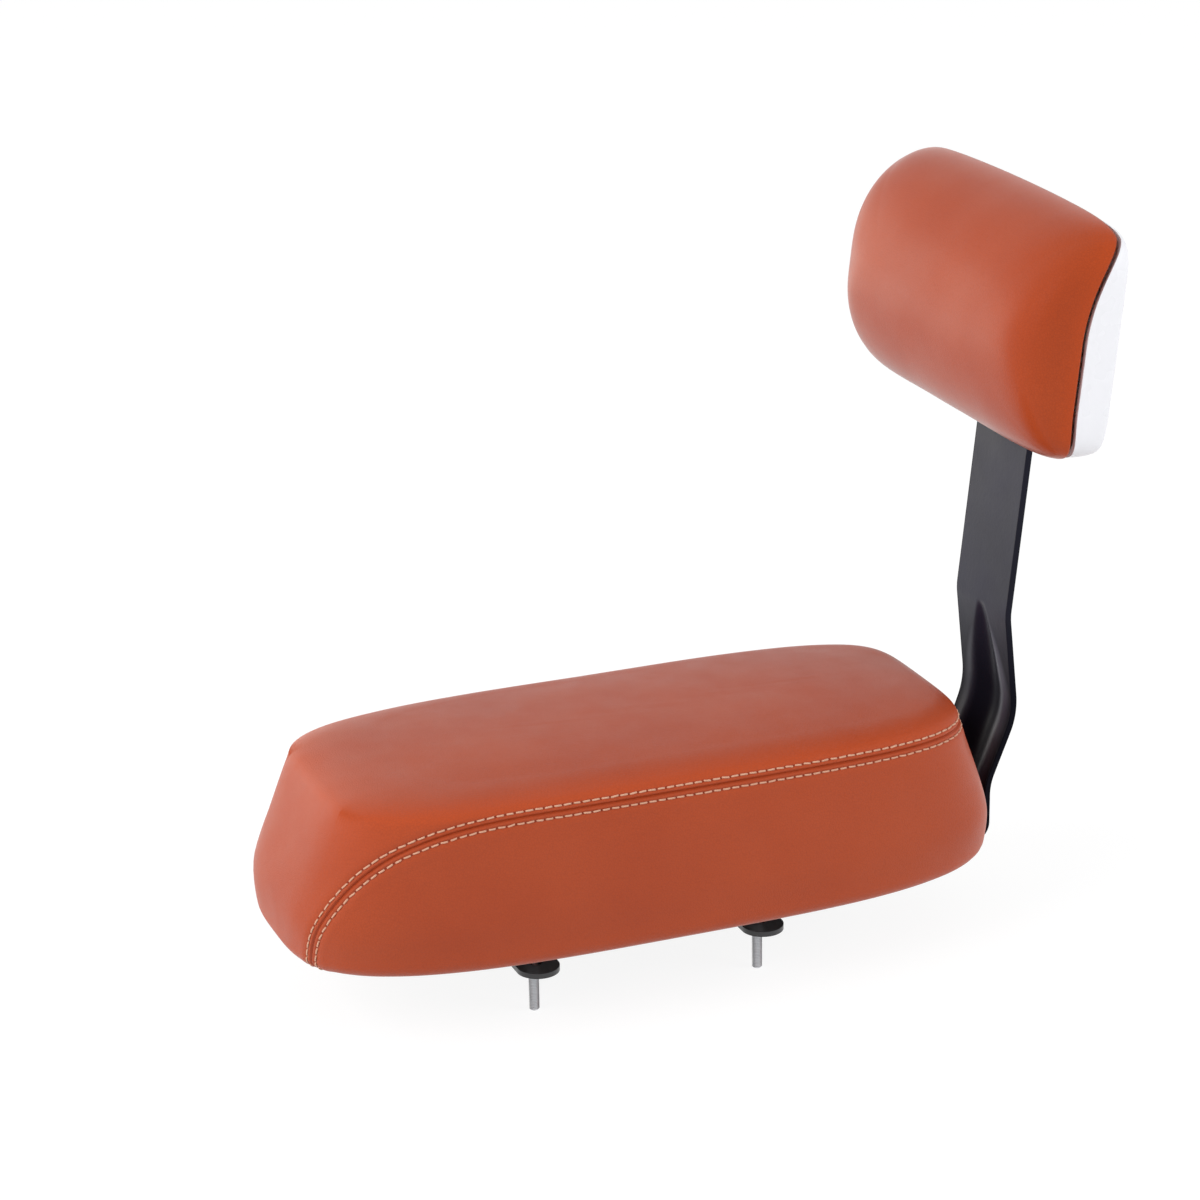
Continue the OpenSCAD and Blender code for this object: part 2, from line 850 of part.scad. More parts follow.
// The moulded back shell: a tray with its bosses and ribs
module backrest_shell() {
    rib_from = 3;
    rib_h = shell_mid - shell_wall - rib_from + 1;
    boss_h = shell_mid - shell_wall + leather_t + 1;
    color([0.93, 0.93, 0.95])
        at_backrest()
            difference() {
                union() {
                    sheet(shell_rings(0), shell_rings(shell_wall), function(i, j) true, true);
                    for (z = [-back_pitch / 2, back_pitch / 2])
                        translate([rib_from, -screw_y, z - shell_rib / 2])
                            cube([rib_h, 2 * screw_y, shell_rib]);
                    for (y = [-0.8, -0.4, 0.4, 0.8])
                        translate([rib_from, y * screw_y - shell_rib / 2, -screw_z])
                            cube([rib_h, shell_rib, 2 * screw_z]);
                    translate([board_x, 0, 0]) {
                        at_back_bolts()
                            cylinder(h = boss_h, d = bolt_d + 2 * back_boss_wall);
                        at_shell_screws()
                            cylinder(h = boss_h, d = screw_head + 2 * screw_boss_wall);
                    }
                }
                at_back_bolts()
                    translate([0, 0, board_x - 1])
                        cylinder(h = 2 * shell_mid, d = bolt_d + 2 * fit);
                at_shell_screws() {
                    translate([0, 0, board_x - 1])
                        cylinder(h = 2 * shell_mid, d = screw_d + 2 * fit);
                    translate([0, 0, screw_seat])
                        cylinder(h = 2 * shell_mid, d = screw_head + 4 * fit);
                }
            }
}

module shell_screws() {
    color([0.74, 0.75, 0.77])
        at_backrest()
            at_shell_screws() {
                translate([0, 0, board_x - screw_in])
                    cylinder(h = screw_in - board_x + screw_seat, d = screw_d);
                translate([0, 0, screw_seat])
                    difference() {
                        cylinder(h = screw_head_t, d = screw_head);
                        for (turn = [0, 90])
                            rotate([0, 0, turn])
                                translate([-2, -0.4, screw_head_t - 1.4])
                                    cube([4, 0.8, 2]);
                    }
            }
}

module backrest_washers() {
    color([0.74, 0.75, 0.77])
        at_backrest()
            at_back_bolts()
                translate([0, 0, shell_mid + bar_t])
                    washer(2 * bolt_d, bolt_d + 2 * fit, washer_t);
}

module backrest_bolts() {
    seat_x = shell_mid + bar_t + washer_t;
    tip_x = board_x - board_t - tee_t - 0.5;
    color([0.74, 0.75, 0.77])
        at_backrest()
            at_back_bolts() {
                translate([0, 0, tip_x])
                    cylinder(h = seat_x - tip_x, d = bolt_d);
                translate([0, 0, seat_x + head_t])
                    mirror([0, 0, 1])
                        hexagon(hex_across, head_t);
            }
}

base_pan();
pan_inserts();
seat_foam();
seat_side_band();
seat_top_panel();
clamp_bolts();
clamp_strip_front();
clamp_strip_rear();
clamp_washers();
clamp_nuts();
back_bar();
foot_washers();
foot_bolts();
backrest_shell();
backrest_board();
backrest_tee_nuts();
backrest_foam();
backrest_cover();
shell_screws();
backrest_washers();
backrest_bolts();
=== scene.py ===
import math
import bmesh
import bpy
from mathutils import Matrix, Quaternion, Vector
import numpy as np


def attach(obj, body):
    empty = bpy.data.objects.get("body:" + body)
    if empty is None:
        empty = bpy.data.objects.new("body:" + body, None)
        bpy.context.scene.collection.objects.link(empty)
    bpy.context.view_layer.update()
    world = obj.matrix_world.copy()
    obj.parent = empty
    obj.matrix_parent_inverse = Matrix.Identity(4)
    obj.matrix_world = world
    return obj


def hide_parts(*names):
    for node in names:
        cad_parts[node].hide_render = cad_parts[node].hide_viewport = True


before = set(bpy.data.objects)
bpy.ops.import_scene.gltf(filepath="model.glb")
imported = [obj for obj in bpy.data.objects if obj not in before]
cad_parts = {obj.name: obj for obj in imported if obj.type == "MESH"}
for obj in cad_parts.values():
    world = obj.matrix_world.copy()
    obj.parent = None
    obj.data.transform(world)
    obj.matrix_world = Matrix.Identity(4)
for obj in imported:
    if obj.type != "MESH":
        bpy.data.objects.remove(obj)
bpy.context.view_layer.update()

# Seat pan
# Moulded black plastic tray that stiffens the cushion and lies on the rack. It keeps its solid,
# with the fine matt spark texture that such mouldings have.


def new_material(name, colour, roughness, metallic=0.0, **sockets):
    """Principled surface with its even values set on its own sockets. Returns the material,
    its node tree and the shader, so that a section can add the pattern of its own piece."""
    made = bpy.data.materials.new(name)
    made.use_nodes = True
    shader = made.node_tree.nodes["Principled BSDF"]
    shader.inputs["Base Color"].default_value = (*colour, 1)
    shader.inputs["Roughness"].default_value = roughness
    shader.inputs["Metallic"].default_value = metallic
    for socket, value in sockets.items():
        shader.inputs[socket.replace("_", " ")].default_value = value
    made.diffuse_color = (*colour, 1)
    return made, made.node_tree, shader


def add_node(tree, kind, settings=(), **inputs):
    """Adds one node; inputs are numbers or the sockets that feed it, by name or by place."""
    node = tree.nodes.new(kind)
    for name, value in dict(settings).items():
        setattr(node, name, value)
    for name, value in inputs.items():
        by_place = name[0] == "i" and name[1:].isdigit()
        socket = node.inputs[int(name[1:]) if by_place else name.replace("_", " ")]
        if isinstance(value, bpy.types.NodeSocket):
            tree.links.new(value, socket)
        else:
            socket.default_value = value
    return node


def place(tree):
    """Object coordinates, which are metres in the frame that all the pieces share."""
    return add_node(tree, "ShaderNodeTexCoord").outputs["Object"]


def noise(tree, scale, detail=3.0, rough=0.5, where=None):
    """Fractal noise between 0 and 1, with scale cells to the metre."""
    node = add_node(tree, "ShaderNodeTexNoise", Vector=where or place(tree), Scale=scale,
                    Detail=detail, Roughness=rough)
    return node.outputs["Fac"]


def ramp(value, low, high, out_low=0.0, out_high=1.0):
    """Straight change from out_low to out_high while value goes from low to high."""
    return add_node(value.id_data, "ShaderNodeMapRange", i0=value, i1=low, i2=high, i3=out_low,
                    i4=out_high).outputs[0]


def blend_colours(factor, one, two):
    """Mixes two colours by factor."""
    one, two = [(*c, 1) if isinstance(c, tuple) else c for c in (one, two)]
    return add_node(factor.id_data, "ShaderNodeMix", {"data_type": "RGBA"}, i0=factor, i6=one,
                    i7=two).outputs[2]


def vary_gloss(shader, pattern, low, high):
    """Roughness that goes from low to high while the pattern goes from 0.3 to 0.7."""
    shader.id_data.links.new(ramp(pattern, 0.3, 0.7, low, high), shader.inputs["Roughness"])


def vary_colour(shader, pattern, one, two):
    """Colour that goes from one to two with the pattern."""
    shader.id_data.links.new(blend_colours(pattern, one, two), shader.inputs["Base Color"])


def bump(shader, height, distance, strength=1.0):
    """Turns height, 0 to 1, into relief of that distance in metres."""
    node = add_node(shader.id_data, "ShaderNodeBump", Height=height, Distance=distance, Strength=strength)
    shader.id_data.links.new(node.outputs["Normal"], shader.inputs["Normal"])


def dress(name, material):
    """Gives a carried-over solid its material."""
    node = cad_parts[name]
    node.data.materials.clear()
    node.data.materials.append(material)


pan_plastic, tree, shader = new_material("pan_plastic", (0.018, 0.018, 0.02), 0.5)
vary_gloss(shader, noise(tree, 40), 0.42, 0.58)
vary_colour(shader, noise(tree, 25), (0.015, 0.015, 0.017), (0.028, 0.028, 0.031))
bump(shader, noise(tree, 1800, 2), 0.0002, 0.35)
dress("base_pan", pan_plastic)

# Pan inserts
# Two turned brass inserts, pressed into the pan's bosses, that take the bolts of the bar.

insert_brass, tree, shader = new_material("insert_brass", (0.62, 0.42, 0.14), 0.3, 1.0)
vary_gloss(shader, noise(tree, 300), 0.22, 0.42)
vary_colour(shader, noise(tree, 90), (0.56, 0.37, 0.12), (0.68, 0.48, 0.18))
dress("pan_inserts", insert_brass)

# Seat foam
# Block of open-cell foam between the pan and the leather. It is cut to the cushion's form,
# which the cover then swells a little where no seam or staple holds it.

seat_l, seat_w, seat_h = 350.0, 155.0, 83.0
belly_z, belly_soft, shoulder_h, crown_h = 24.0, 7.0, 10.0, 2.0
lean_side, lean_rear, lean_nose = 7.5, 19.5, 22.0
shoulder_side, shoulder_rear, shoulder_nose = 19.0, 8.0, 41.0
flare_side, flare_rear, flare_nose = 1.0, 1.5, 2.0
tuck_h, tuck_in, plan_low, plan_top = 6.5, 5.5, 3.3, 4.7
seam_turn, seam_end, seam_level, seam_foot = 112.0, 152.0, 0.985, 0.06
leather_t, hem_w, hem_z, core = 1.2, 23.0, 0.8, 5.0
seam_z = seat_h - shoulder_h
air, most_swell = 4.0, 2.6


def mix(a, b, t):
    """The value that lies at share t of the way from a to b."""
    return a + (b - a) * t


def clip(t):
    """t, held between 0 and 1."""
    return np.clip(t, 0, 1)


def bell(x, centre, width):
    """Bell curve: e to minus the square of the distance from the centre over the width."""
    return np.exp(-((x - centre) / width) ** 2)


def squircle(angle, n):
    """Superellipse of half sizes 1: the direction (cos, sin) divided by the n-th root of
    |cos|^n + |sin|^n."""
    c, s = np.cos(np.radians(angle)), np.sin(np.radians(angle))
    reach = (np.abs(c) ** n + np.abs(s) ** n) ** (-1 / n)
    return c * reach, s * reach


def crowd(i, n):
    """Angle of column i of n, with the columns drawn together at the four corners: the even
    angle plus 6 degrees times the sine of four times itself."""
    t = 360.0 * i / n
    return t + 6 * np.sin(np.radians(4 * t))


def seat_skin(angle, k, d=0.0):
    """Outer surface of the cushion. k is -1 at the hem's inner edge, 0 at the bottom edge, 1 at
    seam height, 2 at the end of the shoulder, 3 in the middle of the top; d is how far the skin
    lies inside. The height rises evenly to 1, as a sine over the shoulder and as a parabola over
    the crown; the plan is a superellipse that gets squarer upwards."""
    over_k, crown_k = clip(k - 1), clip(k - 2)
    z = (mix(hem_z + d, seam_z, clip(k)) + (shoulder_h - crown_h - d) * np.sin(np.radians(90 * over_k))
         + crown_h * (1 - (1 - crown_k) ** 2))
    turn = clip(1 - (z - hem_z - d) / (tuck_h - d))
    over = z - belly_z
    over = clip((over + np.sqrt(over ** 2 + belly_soft ** 2)) / 2 / (seam_z - belly_z))

    def inset(lean_in, shoulder, flare):
        """Inward run of one side: a quarter ellipse at the tuck, a parabola below the belly, a
        slow lean above it, a cosine over the shoulder and an even run along the hem."""
        return (d + (tuck_in - d) * (1 - np.sqrt(1 - turn ** 2)) + flare * clip(1 - z / belly_z) ** 2
                + lean_in * over + shoulder * (1 - np.cos(np.radians(90 * over_k))) + hem_w * clip(-k))

    side = inset(lean_side, shoulder_side, flare_side)
    inward = crown_k * (seat_w / 2 - side - core)
    rear = inset(lean_rear, shoulder_rear, flare_rear) + inward
    nose = inset(lean_nose, shoulder_nose, flare_nose) + inward
    c, s = squircle(angle, mix(plan_low, plan_top, clip(z / seam_z)))
    return np.stack([(nose - rear) / 2 + (seat_l - nose - rear) / 2 * c,
                     (seat_w / 2 - side - inward) * s, z + 0 * c], axis=-1)


def seam_at(angle):
    """Height station of the stitched seam: level along the sides and the rear, then a cubic
    drop round the front corner."""
    from_rear = np.abs((angle + 180) % 360 - 180)
    return mix(seam_level, seam_foot, clip((from_rear - seam_turn) / (seam_end - seam_turn)) ** 3)


def tube_faces(rows, n, ring=True):
    """Four-cornered faces of a grid of rows by n points; ring closes it round."""
    j, i = np.meshgrid(np.arange(rows - 1), np.arange(n if ring else n - 1), indexing="ij")
    k = (i + 1) % n
    return np.stack([j * n + i, j * n + k, (j + 1) * n + k, (j + 1) * n + i], axis=-1).reshape(-1, 4)


def strip_cap(first, n, back=False):
    """Flat cap over a ring of n points from point first on, in strips across it."""
    i = np.arange(n // 2 - 1)
    quads = np.stack([first + i, first + n - 1 - i, first + n - 2 - i, first + i + 1], axis=-1)
    return quads[:, ::-1] if back else quads


def closed_faces(rows, n):
    """Faces of a grid that closes round, with a cap over its first and its last row."""
    return np.concatenate([tube_faces(rows, n), strip_cap(0, n), strip_cap((rows - 1) * n, n, True)])


def new_object(name, points, faces):
    """Mesh object in the scene, from points in millimetres and a list of face arrays."""
    mesh = bpy.data.meshes.new(name)
    mesh.from_pydata((np.asarray(points).reshape(-1, 3) / 1000).tolist(), [],
                     sum([f.tolist() for f in faces], []))
    made = bpy.data.objects.new(name, mesh)
    bpy.context.scene.collection.objects.link(made)
    return made


def new_piece(name, points, faces, material, smooth=True):
    """Visible piece with its material and its slot, on the fixed body."""
    piece = new_object(name, points, faces)
    piece.data.validate()
    piece.data.polygons.foreach_set("use_smooth", [smooth] * len(piece.data.polygons))
    piece.data.materials.append(material)
    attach(piece, "root")
    return piece


def swell(name, rings, held):
    """Cloth simulation of a closed cover. rings is rows by columns by 3, in millimetres, and
    held is 1 where a seam or staples pin the cover. Inner air pressure pushes the free parts
    out. The way that each point moves, evened out between neighbours and limited to most_swell
    by a hyperbolic tangent, comes back as an array of the same shape."""
    frames, levels, evening_rounds = 20, 10, 14
    trial = new_object(name, rings, [closed_faces(*rings.shape[:2])])
    group = trial.vertex_groups.new(name="held")
    for level in range(1, levels + 1):
        near = np.where(np.round(held.reshape(-1) * levels) == level)[0]
        group.add(near.tolist(), level / levels, "REPLACE")
    cloth = trial.modifiers.new("cover", "CLOTH")
    for setting, value in {"quality": 6, "mass": 0.3, "tension_stiffness": 25, "compression_stiffness": 25,
                           "shear_stiffness": 15, "bending_stiffness": 4, "use_pressure": True,
                           "uniform_pressure_force": air, "vertex_group_mass": "held"}.items():
        setattr(cloth.settings, setting, value)
    cloth.settings.effector_weights.gravity = 0
    cloth.point_cache.frame_end = frames
    scene = bpy.context.scene
    for step in range(1, frames + 1):
        scene.frame_set(step)
    swollen = trial.evaluated_get(bpy.context.evaluated_depsgraph_get()).data
    there = np.empty(len(swollen.vertices) * 3, np.float32)
    swollen.vertices.foreach_get("co", there)
    bpy.data.objects.remove(trial)
    scene.frame_set(1)
    moved = there.reshape(rings.shape) * 1000.0 - rings
    free = 1 - clip(held)[..., None]
    for _ in range(evening_rounds):
        moved = (np.roll(moved, 1, 1) + 2 * moved + np.roll(moved, -1, 1)) / 4
        padded = np.concatenate([moved[:1], moved, moved[-1:].mean(1, keepdims=True) + 0 * moved[-1:]])
        moved = (padded[:-2] + 2 * moved + padded[2:]) / 4 * free
    far = np.linalg.norm(moved, axis=-1, keepdims=True)
    return moved * most_swell * np.tanh(far / most_swell) / np.maximum(far, 1e-6)


def read_grid(table, row, column):
    """Value of a table at fractional rows and columns, by cubic B-spline weights, which smooth
    it. Columns go round; rows stop at the ends."""
    total = 0
    row_0, column_0 = np.floor(row).astype(int), np.floor(column).astype(int)
    fr, fc = row - row_0, column - column_0

    def weights(f):
        """Weights of the four neighbours: the cubic pieces of a B-spline."""
        return [(1 - f) ** 3 / 6, (3 * f ** 3 - 6 * f ** 2 + 4) / 6,
                (-3 * f ** 3 + 3 * f ** 2 + 3 * f + 1) / 6, f ** 3 / 6]

    for p, wr in enumerate(weights(fr)):
        for q, wc in enumerate(weights(fc)):
            r = np.clip(row_0 + p - 1, 0, len(table) - 1)
            c = (column_0 + q - 1) % table.shape[1]
            total = total + table[r, c] * (wr * wc)[..., None]
    return total


sim_n = 96
sim_angle = crowd(np.arange(sim_n), sim_n)
sim_k = np.array([-1, -0.6, -0.2, 0, 0.03, 0.08, 0.15, 0.25, 0.37, 0.49, 0.61, 0.73, 0.85, 0.985, 1.1, 1.25,
                  1.4, 1.55, 1.7, 1.85, 2, 2.15, 2.3, 2.45, 2.6, 2.75, 2.88, 3])
angle_grid, k_grid = np.meshgrid(sim_angle, sim_k)
seat_start = seat_skin(angle_grid, k_grid)
to_seam = np.abs(k_grid - seam_at(angle_grid)) * seam_z
seat_held = clip(bell(to_seam, 0, 7) + (k_grid < 0.01))
seat_swell = swell("seat_trial", seat_start, seat_held)


def swelling(table, stations, angle, k):
    """Displacement at an angle and a station, from the table that a simulation gave."""
    column = np.interp(angle % 360, np.append(sim_angle, 360), np.arange(sim_n + 1))
    return read_grid(table, np.interp(k, stations, np.arange(len(stations))), column)


def seat_surface(angle, k):
    """The cushion's surface with the swelling of its cover, in millimetres."""
    return seat_skin(angle, k) + swelling(seat_swell, sim_k, angle, k)


def unit(vectors):
    """Each vector divided by its length."""
    return vectors / np.maximum(np.linalg.norm(vectors, axis=-1, keepdims=True), 1e-9)


def normals(points):
    """Unit normals of a closed grid: the cross product of the differences along its rows and
    along its columns."""
    return unit(np.cross(np.roll(points, -1, 1) - np.roll(points, 1, 1), np.gradient(points, axis=0)))


foam_stuff, tree, shader = new_material("foam_stuff", (0.78, 0.68, 0.42), 0.95)
cells = add_node(tree, "ShaderNodeTexVoronoi", Vector=place(tree), Scale=900.0)
vary_colour(shader, noise(tree, 60), (0.74, 0.62, 0.36), (0.84, 0.76, 0.52))
bump(shader, cells.outputs["Distance"], 0.0008, 0.8)
foam_in, pan_rim, pan_lid_z = 3.0, 9.0, 12.0
foam_rows = seat_surface(*np.meshgrid(sim_angle, sim_k[sim_k >= 0]))
foam_rows = foam_rows - foam_in * normals(foam_rows)
foam_rows[..., 2] = np.maximum(foam_rows[..., 2], hem_z + leather_t)
pan_top = mix(seat_skin(sim_angle, np.zeros(sim_n)), seat_skin(sim_angle, -np.ones(sim_n)), pan_rim / hem_w)
pan_top[:, 2] = hem_z + leather_t
pan_lid = pan_top.copy()
pan_lid[:, 2] = pan_lid_z
foam_rows = np.concatenate([[pan_lid, pan_top], foam_rows])
seat_block = new_piece("seat_block", foam_rows, [closed_faces(len(foam_rows), sim_n)], foam_stuff)
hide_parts("seat_foam")

# Seat covers
# Two pieces of imitation leather: a top panel that falls over the nose, and a band round the
# sides and the rear. They are sewn together with their edges folded in, and turned under the pan.

stitch_pitch, stitch_off, seam_step = 4.5, 2.65, 0.4


def normal_at(surface, a, k, low, high):
    """Unit normal of a surface of two parameters: the cross product of small steps to both
    sides. Stations k end at low and high."""
    step_a, step_k = 0.05, 0.004
    along = surface(a + step_a, k) - surface(a - step_a, k)
    up = surface(a, np.minimum(k + step_k, high)) - surface(a, np.maximum(k - step_k, low))
    return unit(np.cross(along, up))


def arc(points):
    """Length along a line of points from its start."""
    return np.append(0, np.cumsum(np.linalg.norm(np.diff(points, axis=0), axis=1)))


# The seam's own line: up the left front, along the left side, round the rear, and back
drop_k = np.linspace(-1, seam_foot, 200)[:-1]
level_a = np.linspace(-seam_end, seam_end, 9000)
line_a = np.concatenate([np.full(len(drop_k), -seam_end), level_a, np.full(len(drop_k), seam_end)])
line_k = np.concatenate([drop_k, seam_at(level_a), drop_k[::-1]])
line_u = arc(seat_surface(line_a, line_k))
seam_u = np.arange(0, line_u[-1], seam_step)
seam_a, seam_k = np.interp(seam_u, line_u, line_a), np.interp(seam_u, line_u, line_k)
seam_line = seat_surface(seam_a, seam_k)
seam_dir = unit(np.gradient(seam_line, axis=0))


def from_seam(points):
    """Distance along the seam and distance beside it, of each point, in millimetres: the way to
    the nearest point of the seam's line, split into its part along that line and the rest. The
    points are taken in chunks to save memory."""
    flat = points.reshape(-1, 3)
    along, beside = [], []
    for chunk in np.array_split(flat, len(flat) // 4000 + 1):
        gap = (chunk ** 2).sum(1)[:, None] - 2 * chunk @ seam_line.T + (seam_line ** 2).sum(1)
        near = gap.argmin(1)
        off = chunk - seam_line[near]
        t = (off * seam_dir[near]).sum(1)
        along.append(seam_u[near] + t)
        beside.append(np.sqrt(np.maximum((off ** 2).sum(1) - t ** 2, 0)))
    return [np.concatenate(part).reshape(points.shape[:-1]) for part in (along, beside)]


def seam_relief(along, beside):
    """Height of the leather by the seam, a sum of bell curves: a groove, a rounded fold beside
    it, a dip under each row of stitches that is deepest at the needle holes, and a soft swelling
    outside the rows."""
    groove, fold, dip, hole, swollen = 0.66, 0.25, 0.30, 0.12, 0.32
    pull = dip + hole * np.cos(2 * np.pi * along / stitch_pitch)
    return (-groove * bell(beside, 0, 0.6) + fold * bell(beside, 1.3, 0.8)
            - pull * bell(beside, stitch_off, 0.7) + swollen * bell(beside, 5.6, 2.6))


def finish_cover(a, k):
    """Points of a cover at stations a, k, with the relief of its seam, slow unevenness of the
    padding as products of sines, and pleats at the hem's corners as a sine of the angle; and the
    two distances from the seam in metres."""
    uneven, pleat_h, pleats, hem_room = 0.16, 0.45, 46, 0.5
    points = seat_surface(a, k)
    n = normal_at(seat_surface, a, k, -1.0, 3.0)
    along, beside = from_seam(points)
    x, y, z = np.moveaxis(points, -1, 0)
    wave = (np.sin(x / 17 + 1.3) * np.sin(y / 13 + 0.4) * np.cos(z / 11)
            + 0.6 * np.sin(x / 7.3 + y / 9.1 + 2.0) * np.cos(z / 8 + 1))
    loose = clip((k - 0.02) / 0.2) * clip(beside / 12)
    pleat = bell(a % 90, 45, 16) * clip(-k) ** 0.6 * clip((1 + k) * 6)
    pleat = pleat * (0.5 + 0.5 * np.sin(np.radians(a) * pleats))
    height = seam_relief(along, beside) + uneven * wave * loose + pleat_h * pleat * (k < 0)
    height = np.where(k < 0, np.minimum(height, hem_room), height)
    return points + n * height[..., None], along / 1000, beside / 1000


near_rows = np.array([0, 0.18, 0.36, 0.56, 0.8, 1.1, 1.45, 1.8, 2.1, 2.4, 2.65, 2.9, 3.2, 3.6, 4.2,
                      5, 6.2, 8, 10])


def columns_of_k(a, k_from, k_to, slope, rows):
    """Stations k of the rows of each column, from the seam at k_from to k_to. The first rows lie
    at the distances near_rows beside the seam, which takes them over the slope along the column;
    the others share the rest of the column's length."""
    made = []
    for one, start, end, s in zip(a, k_from, k_to, slope):
        k = np.linspace(start, end, 160)
        length = arc(seat_surface(np.full(len(k), one), k))
        first = near_rows / s
        first = first * min(1, 0.7 * length[-1] / first[-1])
        rest = np.linspace(0, 1, rows + 1)[1:] * (length[-1] - first[-1]) + first[-1]
        made.append(np.interp(np.append(first, rest), length, k))
    return np.array(made).T


def slope_at(a):
    """Sine of the angle between the seam and the column that crosses it, at least 0.35. The
    first and the last 300 samples of the seam, which fall down the front corners, are left out."""
    fall, step_k = 300, 0.01
    here = np.clip(np.searchsorted(seam_a[fall:-fall], a) + fall, 0, len(seam_a) - 1)
    up = unit(seat_surface(a, seam_at(a) + step_k) - seat_surface(a, seam_at(a) - step_k))
    return np.sqrt(np.clip(1 - (up * seam_dir[here]).sum(1) ** 2, 0.12, 1))


band_columns, band_rows, panel_rows, front_columns = 660, 26, 40, 70
hem_k = np.linspace(-1, 0, 15)[:-1]
level_u = arc(seat_surface(level_a, seam_at(level_a)))
band_a = np.interp(np.linspace(0, level_u[-1], band_columns), level_u, level_a)
band_slope = slope_at(band_a)
side_k = columns_of_k(band_a, seam_at(band_a), np.zeros(band_columns), band_slope, band_rows)[::-1]
band_k = np.concatenate([np.repeat(hem_k[:, None], band_columns, 1), side_k])

# The third colour is a warmer, lighter orange painted along the edges as painted light; the first two are
# the leather's own tones
leather_light, leather_dark, leather_edge_lit = (0.43, 0.066, 0.017), (0.385, 0.054, 0.013), (0.48, 0.066, 0.012)
crease_shade, seam_shade = (0.17, 0.03, 0.013), (0.17, 0.024, 0.008)


def number(operation, a, b=None):
    """One step of arithmetic on numbers, of which one at least varies over the surface."""
    inputs = {"i0": a} if b is None else {"i0": a, "i1": b}
    tree = (a if isinstance(a, bpy.types.NodeSocket) else b).id_data
    return add_node(tree, "ShaderNodeMath", {"operation": operation}, **inputs).outputs[0]


def named(tree, name):
    """A number stored on the points of the piece."""
    return add_node(tree, "ShaderNodeAttribute", {"attribute_name": name}).outputs["Fac"]


def new_leather(name, seam):
    """Imitation leather: an embossed grain of small cells with fine pores and painted shade in the
    creases between the cells, colour that drifts slowly, painted light along the edges as a warmer,
    lighter orange where the cover shows less sheen, and at a seam painted shade in the needle
    holes and in the groove."""
    made, tree, shader = new_material(name, leather_light, 0.42, Specular_IOR_Level=0.22, Coat_Weight=0.27,
                                      Coat_Roughness=0.5)
    where = place(tree)
    grain, clumps, pores = 780.0, 240.0, 3200.0
    cell = add_node(tree, "ShaderNodeTexVoronoi", {"feature": "DISTANCE_TO_EDGE"}, Vector=where, Scale=grain)
    crease = ramp(cell.outputs["Distance"], 0.0, 0.14)
    group = add_node(tree, "ShaderNodeTexVoronoi", {"feature": "SMOOTH_F1"}, Vector=where, Scale=clumps)
    height = number("ADD", number("MULTIPLY", crease, 0.6),
                    number("MULTIPLY", group.outputs["Distance"], 0.35))
    height = number("ADD", height, number("MULTIPLY", noise(tree, pores, 2, where=where), 0.25))
    drift = ramp(noise(tree, 13, 3, where=where), 0.3, 0.7)
    colour = blend_colours(drift, leather_dark, leather_light)
    # Painted light: the edges get a warmer, lighter orange where the cover shows less sheen
    edge_light_share = number("MULTIPLY", named(tree, "stretch"), 0.85)
    colour = blend_colours(edge_light_share, colour, leather_edge_lit)
    colour = blend_colours(ramp(crease, 0.0, 1.0, 0.16, 0.0), colour, crease_shade)
    if seam:
        pitch, beside = stitch_pitch / 1000, named(tree, "beside")
        turn = number("FRACT", number("DIVIDE", named(tree, "along"), pitch))
        to_middle = number("ABSOLUTE", number("SUBTRACT", turn, 0.5))
        to_hole = number("MULTIPLY", number("SUBTRACT", 0.5, to_middle), pitch)
        to_row = number("SUBTRACT", beside, stitch_off / 1000)
        reach = number("SQRT", number("ADD", number("MULTIPLY", to_hole, to_hole),
                                      number("MULTIPLY", to_row, to_row)))
        hole = ramp(reach, 0.0003, 0.0008, 0.7, 0.0)
        groove = ramp(beside, 0.0001, 0.0010, 0.16, 0.0)
        colour = blend_colours(number("MAXIMUM", hole, groove), colour, seam_shade)
    tree.links.new(colour, shader.inputs["Base Color"])
    vary_gloss(shader, noise(tree, 60, where=where), 0.38, 0.47)
    bump(shader, height, 0.00016, 0.55)
    return made


def store(piece, **values):
    """Keeps one number for each point of the piece under its name."""
    for name, value in values.items():
        kept = piece.data.attributes.new(name, "FLOAT", "POINT")
        kept.data.foreach_set("value", np.asarray(value, np.float32).reshape(-1))


def thicken(piece, thickness):
    """Gives a one-sided cover its thickness inwards."""
    wall = piece.modifiers.new("thickness", "SOLIDIFY")
    wall.thickness = thickness / 1000
    wall.offset = -1


seat_leather = new_leather("seat_leather", True)


def stretch_at(k):
    """Share of the painted edge light, a warmer and lighter orange: a bell curve over the shoulder
    and a lower one at the bottom edge."""
    return clip(bell(k, 1.25, 0.35) + 0.6 * bell(k, 0.03, 0.12))


grid_a = np.repeat(band_a[None], len(band_k), 0)
points, along, beside = finish_cover(grid_a, band_k)
side_band = new_piece("side_band", points, [tube_faces(*band_k.shape, ring=False)], seat_leather)
store(side_band, along=along, beside=beside, stretch=stretch_at(band_k))
thicken(side_band, leather_t)
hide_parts("seat_side_band")

